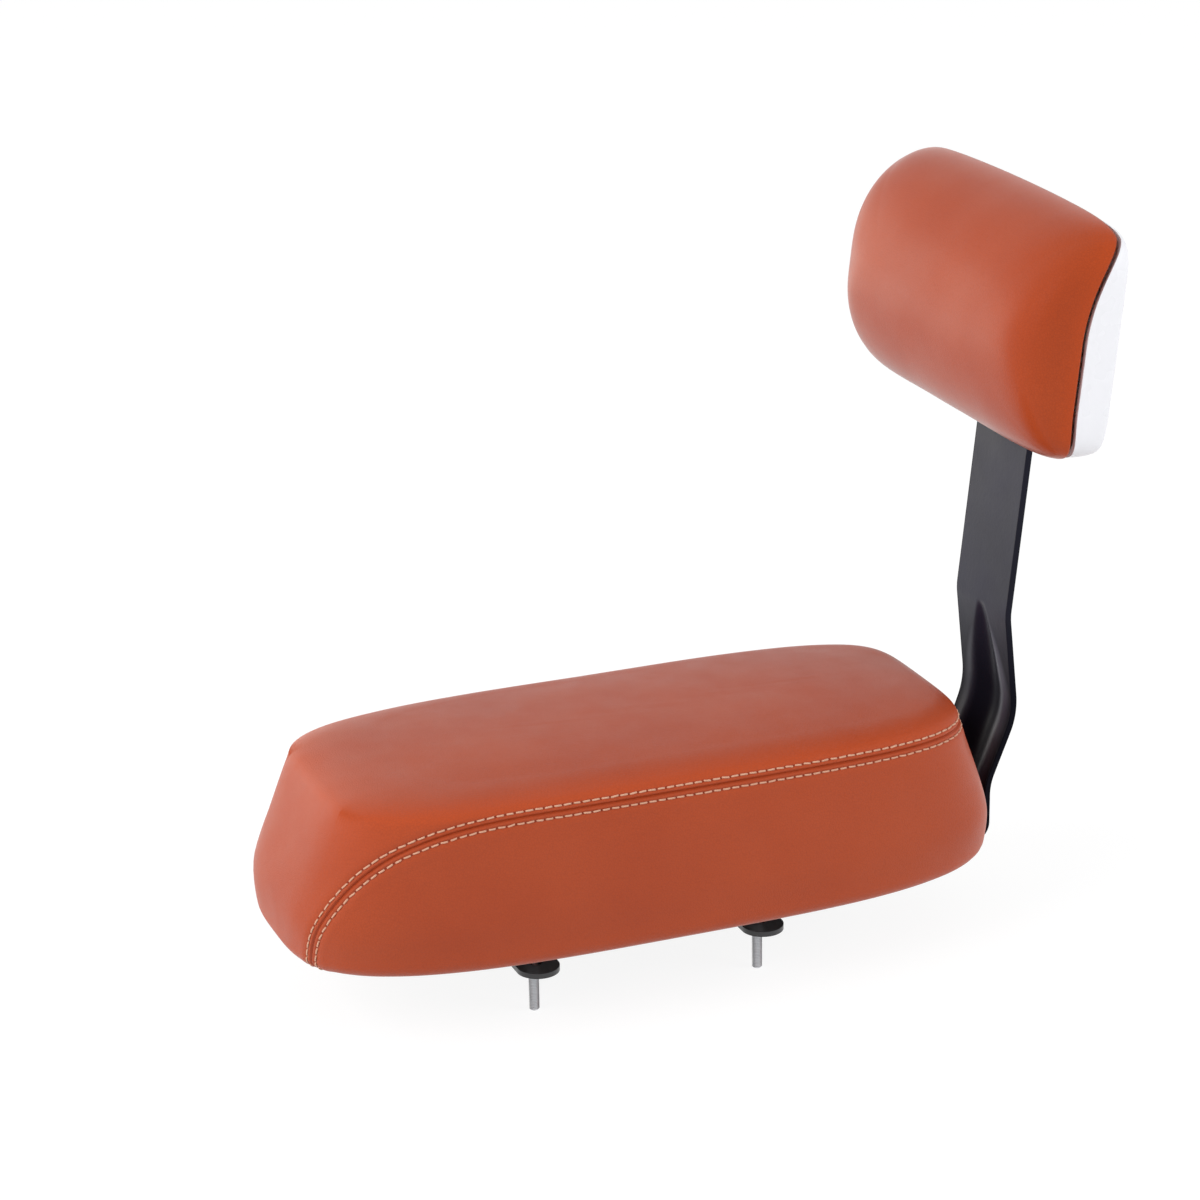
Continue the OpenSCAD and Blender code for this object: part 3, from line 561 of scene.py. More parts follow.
# The panel goes all round above the seam, and at the nose down to the hem
front_a = np.linspace(seam_end, 360 - seam_end, 1200)
front_u = arc(seat_surface(front_a, np.full(len(front_a), 0.3)))
span = front_u[-1] - 2 * near_rows[-1]
front_at = np.concatenate([near_rows[1:], near_rows[-1] + np.linspace(0, span, front_columns)[1:-1],
                           front_u[-1] - near_rows[:0:-1]])
front_cols = np.interp(front_at, front_u, front_a)
panel_a = np.concatenate([band_a, front_cols])
panel_slope = np.concatenate([band_slope, np.ones(len(front_cols))])
panel_k = columns_of_k(panel_a, seam_at(panel_a), np.full(len(panel_a), 3.0), panel_slope, panel_rows)
apron_a = np.concatenate([[seam_end], front_cols, [360 - seam_end]])
apron_k = np.concatenate([hem_k, seam_foot * np.array([0, 0.08, 0.2, 0.35, 0.5, 0.7, 0.85, 1])])
apron_a, apron_k = np.meshgrid(apron_a, apron_k)
panel_grid = np.repeat(panel_a[None], len(panel_k), 0)
upper, upper_along, upper_beside = finish_cover(panel_grid, panel_k)
lower, lower_along, lower_beside = finish_cover(apron_a, apron_k)
count = upper.shape[0] * upper.shape[1]
top_panel = new_piece("top_panel", np.concatenate([upper.reshape(-1, 3), lower.reshape(-1, 3)]), [
    tube_faces(*panel_k.shape), strip_cap(count - panel_k.shape[1], panel_k.shape[1], True),
    count + tube_faces(*apron_k.shape, ring=False)], seat_leather)
store(top_panel, along=np.append(upper_along, lower_along), beside=np.append(upper_beside, lower_beside),
      stretch=stretch_at(np.append(panel_k, apron_k)))
join = top_panel.modifiers.new("join", "WELD")
join.merge_threshold = 0.02 / 1000
thicken(top_panel, leather_t)
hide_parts("seat_top_panel")

# Seat stitches
# Two rows of stout polyester thread, one on each side of the seam, that hold its folded edges
# down. Each stitch comes up at one needle hole and goes down at the next.

thread, tree, shader = new_material("thread", (0.74, 0.40, 0.26), 0.6, Sheen_Weight=0.2)
ply = add_node(tree, "ShaderNodeTexWave", {"bands_direction": "DIAGONAL"}, Vector=place(tree), Scale=900.0)
vary_colour(shader, noise(tree, 400), (0.68, 0.34, 0.21), (0.82, 0.48, 0.33))
bump(shader, ply.outputs["Fac"], 0.0002, 0.6)


def settle(target, a, k):
    """Stations of the surface point nearest to each target, by four Newton steps: each solves
    the two equations of the remaining way in the plane of the surface's two directions."""
    step_a, step_k = 0.05, 0.003
    for _ in range(4):
        here = seat_surface(a, k)
        to_a = (seat_surface(a + step_a, k) - here) / step_a
        to_k = (seat_surface(a, k + step_k) - here) / step_k
        off = target - here
        aa, kk, ak = (to_a ** 2).sum(1), (to_k ** 2).sum(1), (to_a * to_k).sum(1)
        ra, rk = (off * to_a).sum(1), (off * to_k).sum(1)
        det = np.maximum(aa * kk - ak ** 2, 1e-9)
        a = a + (kk * ra - ak * rk) / det
        k = np.clip(k + (aa * rk - ak * ra) / det, -1, 2.9)
    return a, k


def copies(faces, count, points):
    """Faces of count copies of one grid, each with its own points."""
    return (np.arange(count)[:, None, None] * points + faces).reshape(-1, faces.shape[1])


def rods(count, rows, n):
    """Side faces and end faces of count rods, each a grid of rows by n points."""
    ends = np.stack([np.arange(n)[::-1], (rows - 1) * n + np.arange(n)])
    return [copies(faces, count, rows * n) for faces in (tube_faces(rows, n), ends)]


chance = np.random.default_rng(7)
seam_across = np.cross(normal_at(seat_surface, seam_a, seam_k, -1.0, 3.0), seam_dir)
bare_end, thread_r, thread_tip, thread_lift, thread_dive = 3, 0.42, 0.18, 0.2, 0.75
sections, sides = 9, 6
stitches = int(seam_u[-1] / stitch_pitch) - 2 * bare_end
middle = (np.arange(stitches) + bare_end + 0.5) * stitch_pitch
t = np.linspace(-1, 1, sections)
round_t = np.radians(np.arange(sides) * 360 / sides)
rows_of_thread = []
for side in (-1, 1):
    row_a, row_k = settle(seam_line + side * stitch_off * seam_across, seam_a, seam_k)
    row = seat_surface(row_a, row_k)
    row_n = normal_at(seat_surface, row_a, row_k, -1.0, 3.0)
    long = 0.5 * stitch_pitch * (0.88 + 0.04 * chance.standard_normal(stitches))
    at_u = middle[:, None] + long[:, None] * t
    centre = np.stack([np.interp(at_u, seam_u, row[:, c]) for c in range(3)], -1)
    up = np.stack([np.interp(at_u, seam_u, row_n[:, c]) for c in range(3)], -1)
    over = np.cross(up, unit(np.gradient(centre, axis=1)))
    lift = 0.02 + thread_lift * (1 - t ** 2) - thread_dive * t ** 8
    lift = lift + 0.03 * chance.standard_normal((stitches, 1))
    slant = 0.12 * chance.standard_normal((stitches, 1)) * t
    centre = centre + up * lift[..., None] + over * slant[..., None]
    thick = np.where(np.abs(t) > 0.99, thread_tip, thread_r)[None, :, None, None]
    ring = (centre[:, :, None] + thick * (np.cos(round_t)[:, None] * over[:, :, None] * 1.05
                                          + np.sin(round_t)[:, None] * up[:, :, None]))
    rows_of_thread.append(ring)
rings = np.concatenate(rows_of_thread)
new_piece("seat_stitches", rings, rods(len(rings), sections, sides), thread)

# Hem staples
# Flat-wire staples, 10 mm wide, driven through the turned-under hem into the rim of the pan.

zinc, tree, shader = new_material("zinc", (0.60, 0.61, 0.63), 0.3, 1.0)
mottle = noise(tree, 160, 4)
vary_gloss(shader, mottle, 0.24, 0.42)
vary_colour(shader, mottle, (0.52, 0.53, 0.55), (0.68, 0.69, 0.71))
bump(shader, noise(tree, 2500, 2), 0.00005, 0.4)
staple_k, staple_pitch, staple_start, staple_skew, foot_from, foot_half = -0.72, 21.0, 9.0, 5.0, 60.0, 33.0
hem_a = np.linspace(-180, 180, 2000)
hem_u = arc(seat_surface(hem_a, np.full(len(hem_a), staple_k)))
staple_a = np.interp(np.arange(staple_start, hem_u[-1] - staple_start + 1, staple_pitch), hem_u, hem_a)
middle = seat_surface(staple_a, np.full(len(staple_a), staple_k))
clear = ~((middle[:, 0] > foot_from) & (np.abs(middle[:, 1]) < foot_half))
staple_a, middle = staple_a[clear], middle[clear]
way = seat_surface(staple_a + 0.3, np.full(len(staple_a), staple_k)) - middle
way = unit(way * [1, 1, 0])
turn = np.radians(staple_skew * chance.standard_normal(len(way)))
way = np.stack([way[:, 0] * np.cos(turn) - way[:, 1] * np.sin(turn),
                way[:, 0] * np.sin(turn) + way[:, 1] * np.cos(turn), way[:, 2]], -1)
aside = np.stack([-way[:, 1], way[:, 0], way[:, 2]], -1)
profile = np.array([[-5, 2.4], [-5, 0.75], [-4.7, 0.42], [4.7, 0.42], [5, 0.75], [5, 2.4]])
inner = np.array([[-4.5, 2.4], [-4.5, 0.95], [-4.4, 0.85], [4.4, 0.85], [4.5, 0.95], [4.5, 2.4]])
wire = np.stack([profile, profile, inner, inner], 1)
across = np.array([-0.6, 0.6, 0.6, -0.6])
staple = (middle[:, None, None] * [1, 1, 0] + way[:, None, None] * wire[..., 0][None, ..., None]
          + aside[:, None, None] * across[None, None, :, None] + [0, 0, 1] * wire[..., 1][None, ..., None])
new_piece("hem_staples", staple, rods(len(staple), *wire.shape[:2]), zinc, smooth=False)

# Rack clamps
# Two slotted steel strips hang on four carriage bolts, with a washer and a hex nut on each. The
# bolts' heads sit in the pan, and their threads are rolled.

clamp_x, clamp_y, clamp_drop, clamp_head, bolt_sides = (-63.0, 49.0), 42.0, 37.0, 8.0, 20


def revolve(profile, n):
    """Grid of points of a profile of (radius, height), turned round the upright axis in n steps."""
    angle = np.linspace(0, 2 * np.pi, n, endpoint=False)
    r, h = np.asarray(profile).T[..., None]
    return np.stack([r * np.cos(angle), r * np.sin(angle), h + 0 * angle], -1)


def screw_thread(low, high, outer, pitch, n):
    """Rows of a rolled thread from low to high: the radius falls and rises once a pitch, as a
    rounded wave whose place goes round with the angle, and fades out at both ends. The lower
    end has a chamfer."""
    z = np.arange(low, high + 0.01, pitch / 8)
    angle = np.linspace(0, 2 * np.pi, n, endpoint=False)
    phase = z[:, None] / pitch - angle / (2 * np.pi)
    wave = 0.5 + 0.5 * np.cos(2 * np.pi * phase)
    fade = clip(np.minimum(z - low, high - z) / (1.5 * pitch))[:, None]
    r = outer - 0.61 * pitch * (1 - np.sqrt(wave)) * fade
    r = np.minimum(r, outer - 0.6 * clip(1 - (z[:, None] - low) / 0.7))
    return np.stack([r * np.cos(angle), r * np.sin(angle), z[:, None] + 0 * angle], -1)


clamp_r, clamp_pitch = 2.5, 0.8
head = [(clamp_r, -4.0), (clamp_r, 0.0), (6.0, 0.0), (5.6, 0.6), (4.0, 1.75), (2.0, 2.45), (0.01, 2.6)]
stem = screw_thread(-clamp_drop, 0.0, clamp_r, clamp_pitch, bolt_sides)
tip = stem[:1] * [0.001, 0.001, 1]
body = np.concatenate([tip, stem, revolve(head, bolt_sides) + [0, 0, clamp_head]])
bolts = np.stack([body + [x, y, 0] for x in clamp_x for y in (-clamp_y, clamp_y)])
carriage_bolts = new_piece("carriage_bolts", bolts, [
    copies(closed_faces(len(body), bolt_sides), len(bolts), len(body) * bolt_sides)], zinc)
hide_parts("clamp_bolts")

black_steel, tree, shader = new_material("black_steel", (0.020, 0.020, 0.022), 0.36, Coat_Weight=0.2)
vary_gloss(shader, noise(tree, 70, 3), 0.30, 0.45)
vary_colour(shader, noise(tree, 35), (0.016, 0.016, 0.018), (0.03, 0.03, 0.034))
bump(shader, noise(tree, 700, 2), 0.0001, 0.3)
for name in ("clamp_strip_front", "clamp_strip_rear"):
    dress(name, black_steel)
for name in ("clamp_washers", "clamp_nuts"):
    dress(name, zinc)

# Backrest bar
# One flat steel bar, 3 mm thick, bent over formers and painted black. A groove is pressed into
# its S-bend to stiffen it: it starts in a point at the kink and widens into the bend.

bar_w, bar_t, bar_corner, bar_edge, bar_step, bulge_w = 50.0, 3.0, 8.0, 0.55, 1.2, 0.7
foot_z, foot_x, up_x, foot_bend, bend_z, bulge_z, bulge = -2.2, 64.5, 178.0, 8.1, 27.0, 62.0, 13.5
kink_z, kink_back, lean, groove_d, groove_w, groove_tip, groove_z = 111.5, 8.5, 6.5, 4.5, 36.0, 8.0, 6.0
shell_mid, back_up, back_pitch, bar_over = 21.5, 149.0, 44.0, 13.0
kink_x = up_x + kink_back
bar_top = back_up + back_pitch / 2 + bar_over - 0.2


def bent_line(corners, step):
    """Line through corners (x, z, bend radius), evenly stepped: straight runs joined by arcs
    whose ends lie at radius times the tangent of half the turn from each corner. Returns x, z
    and heading in degrees."""
    x, z, h = [corners[0][0]], [corners[0][1]], []
    for before, here, after in zip(corners, corners[1:], corners[2:]):
        start = math.atan2(here[1] - before[1], here[0] - before[0])
        end = math.atan2(after[1] - here[1], after[0] - here[0])
        back = here[2] * math.tan(abs(end - start) / 2)
        heading = np.linspace(start, end, 40)
        side = math.copysign(here[2], end - start)
        x.extend(here[0] - back * math.cos(start) + side * (np.sin(heading) - math.sin(start)))
        z.extend(here[1] - back * math.sin(start) - side * (np.cos(heading) - math.cos(start)))
    line = np.array([x + [corners[-1][0]], z + [corners[-1][1]]]).T
    u = arc(line)
    at = np.arange(0, u[-1], step)
    even = np.stack([np.interp(at, u, line[:, 0]), np.interp(at, u, line[:, 1])], -1)
    d = np.gradient(even, axis=0)
    return even[:, 0], even[:, 1], np.degrees(np.arctan2(d[:, 1], d[:, 0]))


lean_sin, lean_cos = math.sin(math.radians(lean)), math.cos(math.radians(lean))
half_t = bar_t / 2
bar_x, bar_z, bar_h = bent_line([
    (foot_x + 0.2, foot_z + half_t, 0), (up_x, foot_z + half_t, foot_bend), (up_x, bend_z, 30),
    (up_x + bulge, bulge_z, 40), (kink_x, kink_z, 30),
    (kink_x + bar_top * lean_sin, kink_z + bar_top * lean_cos, 0)], bar_step)

# Half width along the bar: rounded corners at both ends, and a little more above the cushion
from_end = np.minimum(np.arange(len(bar_x)), np.arange(len(bar_x))[::-1]) * bar_step
corner = bar_corner ** 2 - np.maximum(bar_corner - from_end, 0) ** 2
width = (bar_w / 2 - bar_corner + np.sqrt(np.maximum(corner, 0.3))
         + bulge_w * np.sin(np.radians(90 * clip((bar_z - bend_z) / (bulge_z - bend_z)))) ** 2)

# Section: the upper side, one edge with its two rounded corners, and the same turned half round
cut = np.radians(np.arange(0, 91, 15))
flat = np.linspace(-1, 1, 61)
edge_y = np.ones(2 * len(cut))
section_y = np.concatenate([flat, edge_y, flat[::-1], -edge_y])
round_y = np.concatenate([0 * flat, bar_edge * np.sin(cut), bar_edge * np.cos(cut)])
round_y = np.append(round_y, -round_y)
section_o = np.concatenate([half_t + 0 * flat, half_t - bar_edge * (1 - np.cos(cut)),
                            bar_edge * (1 - np.sin(cut)) - half_t])
section_o = np.append(section_o, -section_o)
y = section_y * (width[:, None] - bar_edge) + round_y

# The groove deepens and widens as a quarter sine below the kink; across, it is a squared cosine
below_kink = clip((kink_z - bar_z) / (kink_z - bulge_z))
depth = groove_d * np.sin(np.radians(90 * np.minimum(below_kink ** 0.6, clip((bar_z - groove_z) / bend_z))))
reach = mix(groove_tip, groove_w, np.sin(np.radians(90 * below_kink))) / 2
beside = np.abs(y) / reach[:, None]
out = section_o - depth[:, None] * np.where(beside < 1, np.cos(np.pi / 2 * beside) ** 2, 0)
nx, nz = -np.sin(np.radians(bar_h)), np.cos(np.radians(bar_h))
bar_points = np.stack([bar_x[:, None] + nx[:, None] * out, y, bar_z[:, None] + nz[:, None] * out], -1)
bar_paint, tree, shader = new_material("bar_paint", (0.010, 0.010, 0.022), 0.36, Specular_IOR_Level=0.36)
vary_gloss(shader, noise(tree, 45, 3), 0.30, 0.42)
# Painted highlight and painted shade: the stored share scales the paint's colour and its specular level by
# position
sheen = named(tree, "sheen")
tree.links.new(number("MULTIPLY", sheen, 0.2), shader.inputs["Specular IOR Level"])
vary_colour(shader, number("MULTIPLY", sheen, noise(tree, 22)), (0.006, 0.006, 0.010),
            (0.024, 0.024, 0.046))
bump(shader, noise(tree, 480, 2), 0.00012, 0.35)
flat_bar = new_piece("flat_bar", bar_points, [faces[:, ::-1] for faces in rods(1, *bar_points.shape[:2])],
                     bar_paint)

# Painted highlight along the groove's ridges, strongest on the near side, and painted shade below the kink
# and on the edges: the stored share scales the paint's colour and its specular level
ridge_highlight = bell(beside, 0.98, 0.28) * clip(below_kink * 2.5)[:, None] * np.where(y < 0, 1, 0.4)
kink_shade = 1 - 0.8 * np.sin(np.radians(90 * clip(below_kink * 1.1)))[:, None]
store(flat_bar, sheen=np.maximum(kink_shade, 2.2 * ridge_highlight) * np.where(np.abs(section_y) < 1, 1.0, 0.45))
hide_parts("back_bar")

# Bolts of the bar's foot
# Two zinc-plated M6 bolts with washers hold the foot under the pan.

for name in ("foot_washers", "foot_bolts"):
    dress(name, zinc)

# Backrest shell
# Moulded white plastic shell behind the backrest, glossy outside, open to the front, with bosses
# and ribs inside. Its rim follows the cover's edge with a thin shadow gap.

back_w, back_h, back_square, back_n = 201.0, 109.0, 9.0, 400
shell_edge, shell_wall, shell_gap, shell_round, shell_in, shell_slope = 18.5, 2.2, 1.6, 2.0, 0.5, 22.0
wrap_top, wrap_bottom, from_top, from_bottom, wrap_to = 14.0, 3.0, 0.05, 0.5, 0.92
screw_y, screw_z, screw_seat, screw_r, screw_head = 69.5, 29.5, 6.0, 2.25, 4.25
bolt_r, boss_wall, boss_front, rib_front, rib_half, bore_n = 3.25, 1.5, -1.2, 3.0, 0.8, 32


def stand_up(local):
    """Turns points from the backrest's own frame, x to the rear from its parting line and z up
    the bar, into the place where the bar carries it."""
    x, y, z = local[..., 0] - bar_t / 2 - shell_mid, local[..., 1], local[..., 2] + back_up
    return np.stack([kink_x + x * lean_cos + z * lean_sin, y, kink_z - x * lean_sin + z * lean_cos], -1)


def sweep_at(z):
    """Backward sweep of the parting line: a parabola from mid-height to the top, and a small one
    at the bottom."""
    start = np.where(z > 0, from_top, from_bottom)
    t = clip((np.abs(z) / (back_h / 2) - start) / (wrap_to - start))
    return np.where(z > 0, wrap_top, wrap_bottom) * t * t


def back_ring(angle, square, in_y, in_z, x_of):
    """Points of the backrest's outline, a superellipse, with its own squareness and its own
    inward run at the ends and at top and bottom. x_of gives the depth at a height."""
    c, s = squircle(angle, square)
    x = x_of(s * back_h / 2)
    return np.stack([x + 0 * c, (back_w / 2 - in_y) * c, (back_h / 2 - in_z) * s], -1)


def shell_skin(angle, m, d):
    """Face of the shell, d inside its outer one: m from 0 at the rim to 1 at the end of the
    rounded edge, a quarter circle, and to 2 at the flat where the bar bears, a sine."""
    turn, flat = np.radians(90 * clip(m)), clip(m - 1)
    inset = (shell_in + d + (shell_round - d / 2) * (1 - np.cos(turn))
             + (shell_slope - shell_in - shell_round) * flat)
    rise = (shell_mid - shell_edge) * np.sin(np.radians(90 * flat))
    return back_ring(angle, back_square, inset, inset,
                     lambda z: mix(sweep_at(z) + shell_gap, shell_edge - d, np.sin(turn)) + rise)


shell_plastic, tree, shader = new_material("shell_plastic", (0.94, 0.945, 0.985), 0.28, Coat_Weight=0.25,
                                           Coat_Roughness=0.15)
vary_gloss(shader, noise(tree, 35, 3), 0.24, 0.33)
vary_colour(shader, noise(tree, 12), (0.93, 0.935, 0.98), (0.95, 0.955, 0.995))
bump(shader, noise(tree, 220, 2), 0.0001, 0.15)
back_a = crowd(np.arange(back_n), back_n)
shell_m = np.concatenate([np.linspace(0, 1, 17), np.linspace(1, 2, 16)[1:]])
a_grid, m_grid = np.meshgrid(back_a, shell_m)
rings = np.concatenate([shell_skin(a_grid, m_grid, shell_wall)[::-1], shell_skin(a_grid, m_grid, 0.0)])
back_shell = new_piece("back_shell", stand_up(rings), [closed_faces(len(rings), back_n)],
                       shell_plastic)


def crosswise(profile, y, z):
    """Grid of points of a profile of (radius, depth), turned round an axis that crosses the
    backrest from front to rear at y, z."""
    tube = revolve(profile, bore_n)
    return stand_up(np.stack([tube[..., 2], tube[..., 0] + y, tube[..., 1] + z], -1))


def drill(piece, centres, radius, low, high):
    """Takes round bores out of the piece, from depth low to depth high."""
    profile = [(0.01, low), (radius, low), (radius, high), (0.01, high)]
    points = [crosswise(profile, y, z) for y, z in centres]
    faces = copies(tube_faces(len(profile), bore_n), len(points), len(profile) * bore_n)
    tool = new_object("bores", points, [faces])
    cut_out = piece.modifiers.new("bores", "BOOLEAN")
    cut_out.operation, cut_out.object, cut_out.solver = "DIFFERENCE", tool, "EXACT"
    done = bpy.data.meshes.new_from_object(piece.evaluated_get(bpy.context.evaluated_depsgraph_get()))
    piece.modifiers.remove(cut_out)
    done.set_sharp_from_angle(angle=math.radians(35))
    piece.data = done
    bpy.data.objects.remove(tool)


screw_places = [(y, z) for y in (-screw_y, screw_y) for z in (-screw_z, screw_z)]
bolt_places = [(0, -back_pitch / 2), (0, back_pitch / 2)]
drill(back_shell, screw_places, screw_head, screw_seat, 60)
drill(back_shell, bolt_places, bolt_r, -3, 60)

# Bosses stand inside, from the board to the wall. Each is a closed profile round its own bore
deep_in = shell_mid - 1.0
screw_boss, bolt_boss = screw_head + boss_wall, bolt_r + 4.0
inside, faces, first = [], [], 0
for spots, profile in (
        (screw_places, [(screw_r, boss_front), (screw_r, screw_seat), (screw_head, screw_seat),
                        (screw_head, deep_in), (screw_boss, deep_in), (screw_boss, boss_front)]),
        (bolt_places, [(bolt_r, boss_front), (bolt_r, deep_in),
                       (bolt_boss, deep_in), (bolt_boss, boss_front)])):
    for y, z in spots:
        inside.append(crosswise(profile, y, z).reshape(-1, 3))
        faces.append(first + tube_faces(len(profile) + 1, bore_n)[:, ::-1] % (len(profile) * bore_n))
        first += len(profile) * bore_n

# Level ribs run out from the bolts' bosses, and upright ones cross them
slabs = [(*sorted((sign * 5, sign * screw_y)), z - rib_half, z + rib_half)
         for sign in (-1, 1) for z in (-back_pitch / 2, back_pitch / 2)]
slabs += [(share * screw_y - rib_half, share * screw_y + rib_half, -screw_z, screw_z)
          for share in (-0.8, -0.4, 0.4, 0.8)]
for y_0, y_1, z_0, z_1 in slabs:
    corners = (y_0, z_0), (y_1, z_0), (y_1, z_1), (y_0, z_1)
    inside.append(stand_up(np.array([(x, y, z) for x in (rib_front, deep_in) for y, z in corners])))
    faces.append(first + closed_faces(2, 4))
    first += 8
ribs = new_object("ribs", np.concatenate(inside), faces)
whole = bmesh.new()
whole.from_mesh(back_shell.data)
whole.from_mesh(ribs.data)
bmesh.ops.holes_fill(whole, edges=whole.edges, sides=4)
whole.to_mesh(back_shell.data)
whole.free()
bpy.data.objects.remove(ribs)
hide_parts("backrest_shell")

# Backrest board
# Plywood board, 6 mm thick, that the cover is pulled round and stapled to. Its edge shows plies.

plywood, tree, shader = new_material("plywood", (0.58, 0.41, 0.23), 0.7)
stretched = add_node(tree, "ShaderNodeMapping", Vector=place(tree), Scale=(90.0, 4.0, 90.0))
grain = noise(tree, 8, 5, 0.6, stretched.outputs[0])
vary_colour(shader, ramp(grain, 0.3, 0.7), (0.50, 0.33, 0.17), (0.66, 0.49, 0.29))
bump(shader, grain, 0.0003, 0.4)
dress("backrest_board", plywood)

# Tee nuts
# Two zinc-plated tee nuts pressed into the board, for the bolts of the bar.

dress("backrest_tee_nuts", zinc)

# Backrest foam and cover
# A pad of foam on the board, and over it one piece of imitation leather, pulled round the edge
# and stapled behind. It has no seam: the cover is stretched smooth over the rounded top.

back_hem, pad_t, pad_square, front_square = 16.0, 28.0, 10.0, 3.8
top_rise, rim_in, last_turn = 3.0, 1.1, 89.0


def back_skin(angle, m, d=0.0):
    """Face of the backrest's cover, a barrel, d inside the outer one: m is -1 at the hem's inner
    edge, 0 at the parting line and 1 in the middle of the front. At m times a right angle the
    height shrinks with the cosine, the width with its fifth root, and the face comes forward,
    and its outline gets rounder, with the sine. The top edge is arched: it rises by a parabola
    of the width times the square of the height. The cover's edge lies rim_in before the parting
    line."""
    turn, under = np.radians(last_turn * clip(m)), clip(-m)
    in_y = back_w / 2 - (back_w / 2 - d) * np.cos(turn) ** (2 / pad_square) + (back_hem - d) * under
    in_z = back_h / 2 - (back_h / 2 - d) * np.cos(turn) + (back_hem - d) * under
    ring = back_ring(angle, mix(back_square, front_square, np.sin(turn)), in_y, in_z,
                     lambda z: mix((sweep_at(z) - rim_in) * (1 - under) - d, d - pad_t, np.sin(turn)))
    upper = clip(ring[..., 2] / (back_h / 2)) ** 2 * (1 - under)
    ring[..., 2] += top_rise * upper * (1 - (ring[..., 1] / (back_w / 2)) ** 2)
    return ring


back_sim_m = np.array([-1, -0.5, 0, 0.04, 0.09, 0.15, 0.22, 0.29, 0.36, 0.43, 0.5, 0.57, 0.64, 0.71,
                       0.78, 0.85, 0.91, 0.96, 1])
angle_grid, m_grid = np.meshgrid(sim_angle, back_sim_m)
back_held = (m_grid < 0.01) + 0.5 * bell(m_grid, 0, 0.1) * (m_grid > 0.01)
back_swell = swell("back_trial", back_skin(angle_grid, m_grid)[:, ::-1], back_held)[:, ::-1]


def back_surface(angle, m):
    """The cover of the backrest with its swelling, in its own frame, in millimetres."""
    return back_skin(angle, m) + swelling(back_swell, back_sim_m, angle, m)


back_leather = new_leather("back_leather", False)
gloss = back_leather.node_tree.nodes["Principled BSDF"].inputs
for socket, value in (("Specular IOR Level", 0.06), ("Coat Weight", 1.0), ("Coat IOR", 1.2),
                      ("Coat Roughness", 0.3)):
    gloss[socket].default_value = value
cover_m = np.concatenate([np.linspace(-1, 0, 9)[:-1], np.linspace(0, 1, 71)])
a_grid, m_grid = np.meshgrid(-back_a, cover_m)
cover = back_surface(a_grid, m_grid)
n = normal_at(back_surface, a_grid, m_grid, -1.0, 1.0)
x, y, z = np.moveaxis(cover, -1, 0)
wave = np.sin(y / 19 + 0.7) * np.sin(z / 15 + 1.1) + 0.5 * np.sin(y / 8.5 + z / 10)
cover = cover - n * (0.14 * wave * clip(m_grid / 0.3))[..., None]
back_cover = new_piece("back_cover", stand_up(cover), [
    tube_faces(len(cover_m), back_n), strip_cap((len(cover_m) - 1) * back_n, back_n, True)],
    back_leather)
# The painted edge light, a warmer and lighter orange, runs along the fold at the parting line
store(back_cover, stretch=bell(m_grid, 0, 0.16))
thicken(back_cover, leather_t)
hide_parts("backrest_cover")

# The pad starts where its skin, pad_in inside the cover, comes forward past the board's face
board_front, pad_in = -7.4, 2.5
rim_sweep = sweep_at(squircle(-sim_angle, back_square)[1] * back_h / 2) - pad_in
rim_m = np.degrees(np.arcsin((rim_sweep - board_front) / (rim_sweep + pad_t - pad_in))) / last_turn
pad = back_skin(-sim_angle, mix(rim_m, 1, np.linspace(0, 1, 28)[:, None]), pad_in)
back_pad = new_piece("back_pad", stand_up(pad), [closed_faces(len(pad), sim_n)], foam_stuff)
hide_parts("backrest_foam")

# Backrest fasteners
# Four recessed screws hold the shell to the board, and two M6 bolts with washers the bar.

for name in ("shell_screws", "backrest_washers", "backrest_bolts"):
    dress(name, zinc)

# Floor, light and camera
# A plain pale floor, a white surround, soft studio lamps, and the camera at the photograph's view.


def seen_ray(tree):
    """1 for a ray from the camera, a glossy ray or a transmitted one, and 0 for the others."""
    path = tree.nodes.new("ShaderNodeLightPath").outputs
    seen = number("MAXIMUM", path["Is Camera Ray"], path["Is Glossy Ray"])
    return number("MAXIMUM", seen, path["Is Transmission Ray"])


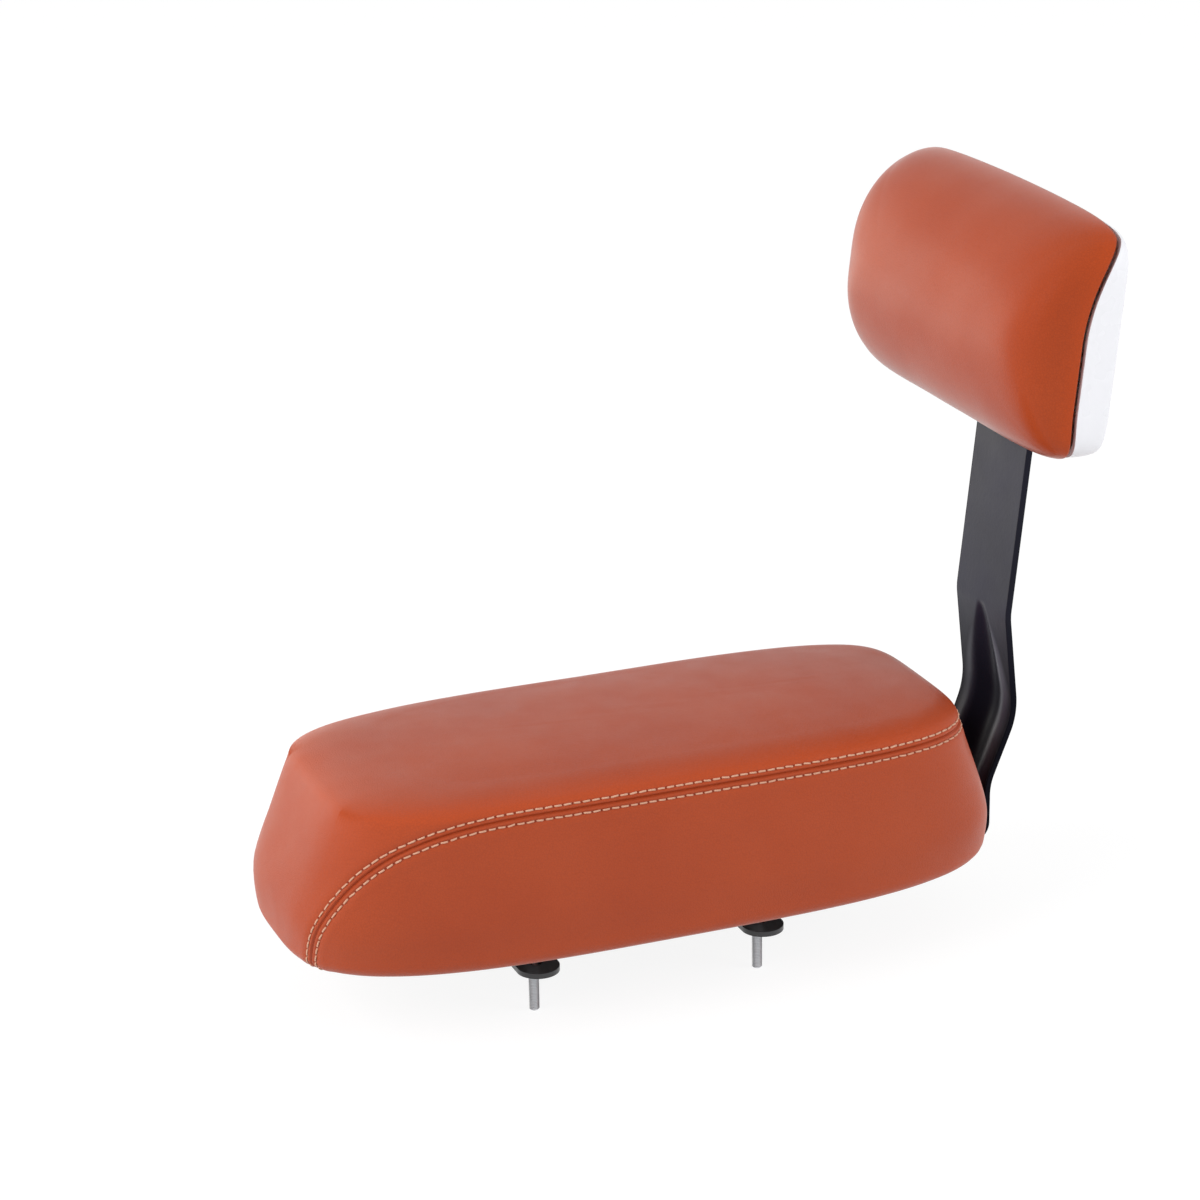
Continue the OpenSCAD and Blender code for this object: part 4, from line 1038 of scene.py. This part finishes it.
floor_paint, tree, shader = new_material("floor_paint", (0.66, 0.66, 0.66), 0.8)
white = add_node(tree, "ShaderNodeEmission", Color=(1, 1, 1, 1), Strength=1.22)
both = add_node(tree, "ShaderNodeMixShader", i0=number("MULTIPLY", seen_ray(tree), 0.72),
                i1=shader.outputs[0], i2=white.outputs[0])
tree.links.new(both.outputs[0], tree.nodes["Material Output"].inputs["Surface"])
floor_half, floor_z = 6000.0, -clamp_drop - 0.2
floor = new_object("floor", [(x * floor_half, y * floor_half, floor_z)
                             for x, y in ((-1, -1), (1, -1), (1, 1), (-1, 1))], [np.arange(4)[None]])
floor.data.materials.append(floor_paint)

world = bpy.data.worlds.new("surround")
bpy.context.scene.world = world
world.use_nodes = True
tree = world.node_tree
tree.links.new(ramp(seen_ray(tree), 0, 1, 0.5, 1.0), tree.nodes["Background"].inputs["Strength"])
tree.nodes["Background"].inputs["Color"].default_value = (1, 1, 1, 1)


def lamp(name, place_at, look_at, size, power):
    """Square area lamp at place_at, facing look_at. Glossy faces don't mirror it."""
    light = bpy.data.lights.new(name, "AREA")
    light.energy, light.size = power, size
    made = bpy.data.objects.new(name, light)
    bpy.context.scene.collection.objects.link(made)
    made.location = place_at
    made.rotation_euler = (Vector(look_at) - Vector(place_at)).to_track_quat("-Z", "Y").to_euler()
    made.visible_glossy = False
    return made


lamp("key", (-2.4, -0.4, 1.35), (0, 0, 0.1), 2.2, 59)
lamp("fill", (1.9, -1.5, 0.75), (0, 0, 0.1), 1.6, 27)

# A pale card behind the object shows only as a reflection on the backrest's front and the bar
card = lamp("card", (-0.28, 0.92, 0.08), (0.16, 0, 0.26), 0.8, 2.5)
card.data.color = (1.0, 0.94, 0.84)
card.visible_glossy, card.visible_diffuse, card.visible_camera = True, False, False

camera = bpy.data.cameras.new("camera")
camera.lens, camera.sensor_width = 111.34, 36
camera.clip_start, camera.clip_end = 0.05, 50
eye = bpy.data.objects.new("camera", camera)
bpy.context.scene.collection.objects.link(eye)
around, above, roll, away = math.radians(21.543), math.radians(19.953), math.radians(0.867), 1.7
look = np.array([-0.01094, 0, 0.14127])
back = np.array([-math.sin(around) * math.cos(above), -math.cos(around) * math.cos(above), math.sin(above)])
eye.location = Vector(look + away * back)
eye.rotation_mode = "QUATERNION"
eye.rotation_quaternion = Vector(-back).to_track_quat("-Z", "Y") @ Quaternion((0, 0, 1), -roll)
bpy.context.scene.camera = eye
bpy.context.scene.view_settings.view_transform = "Standard"
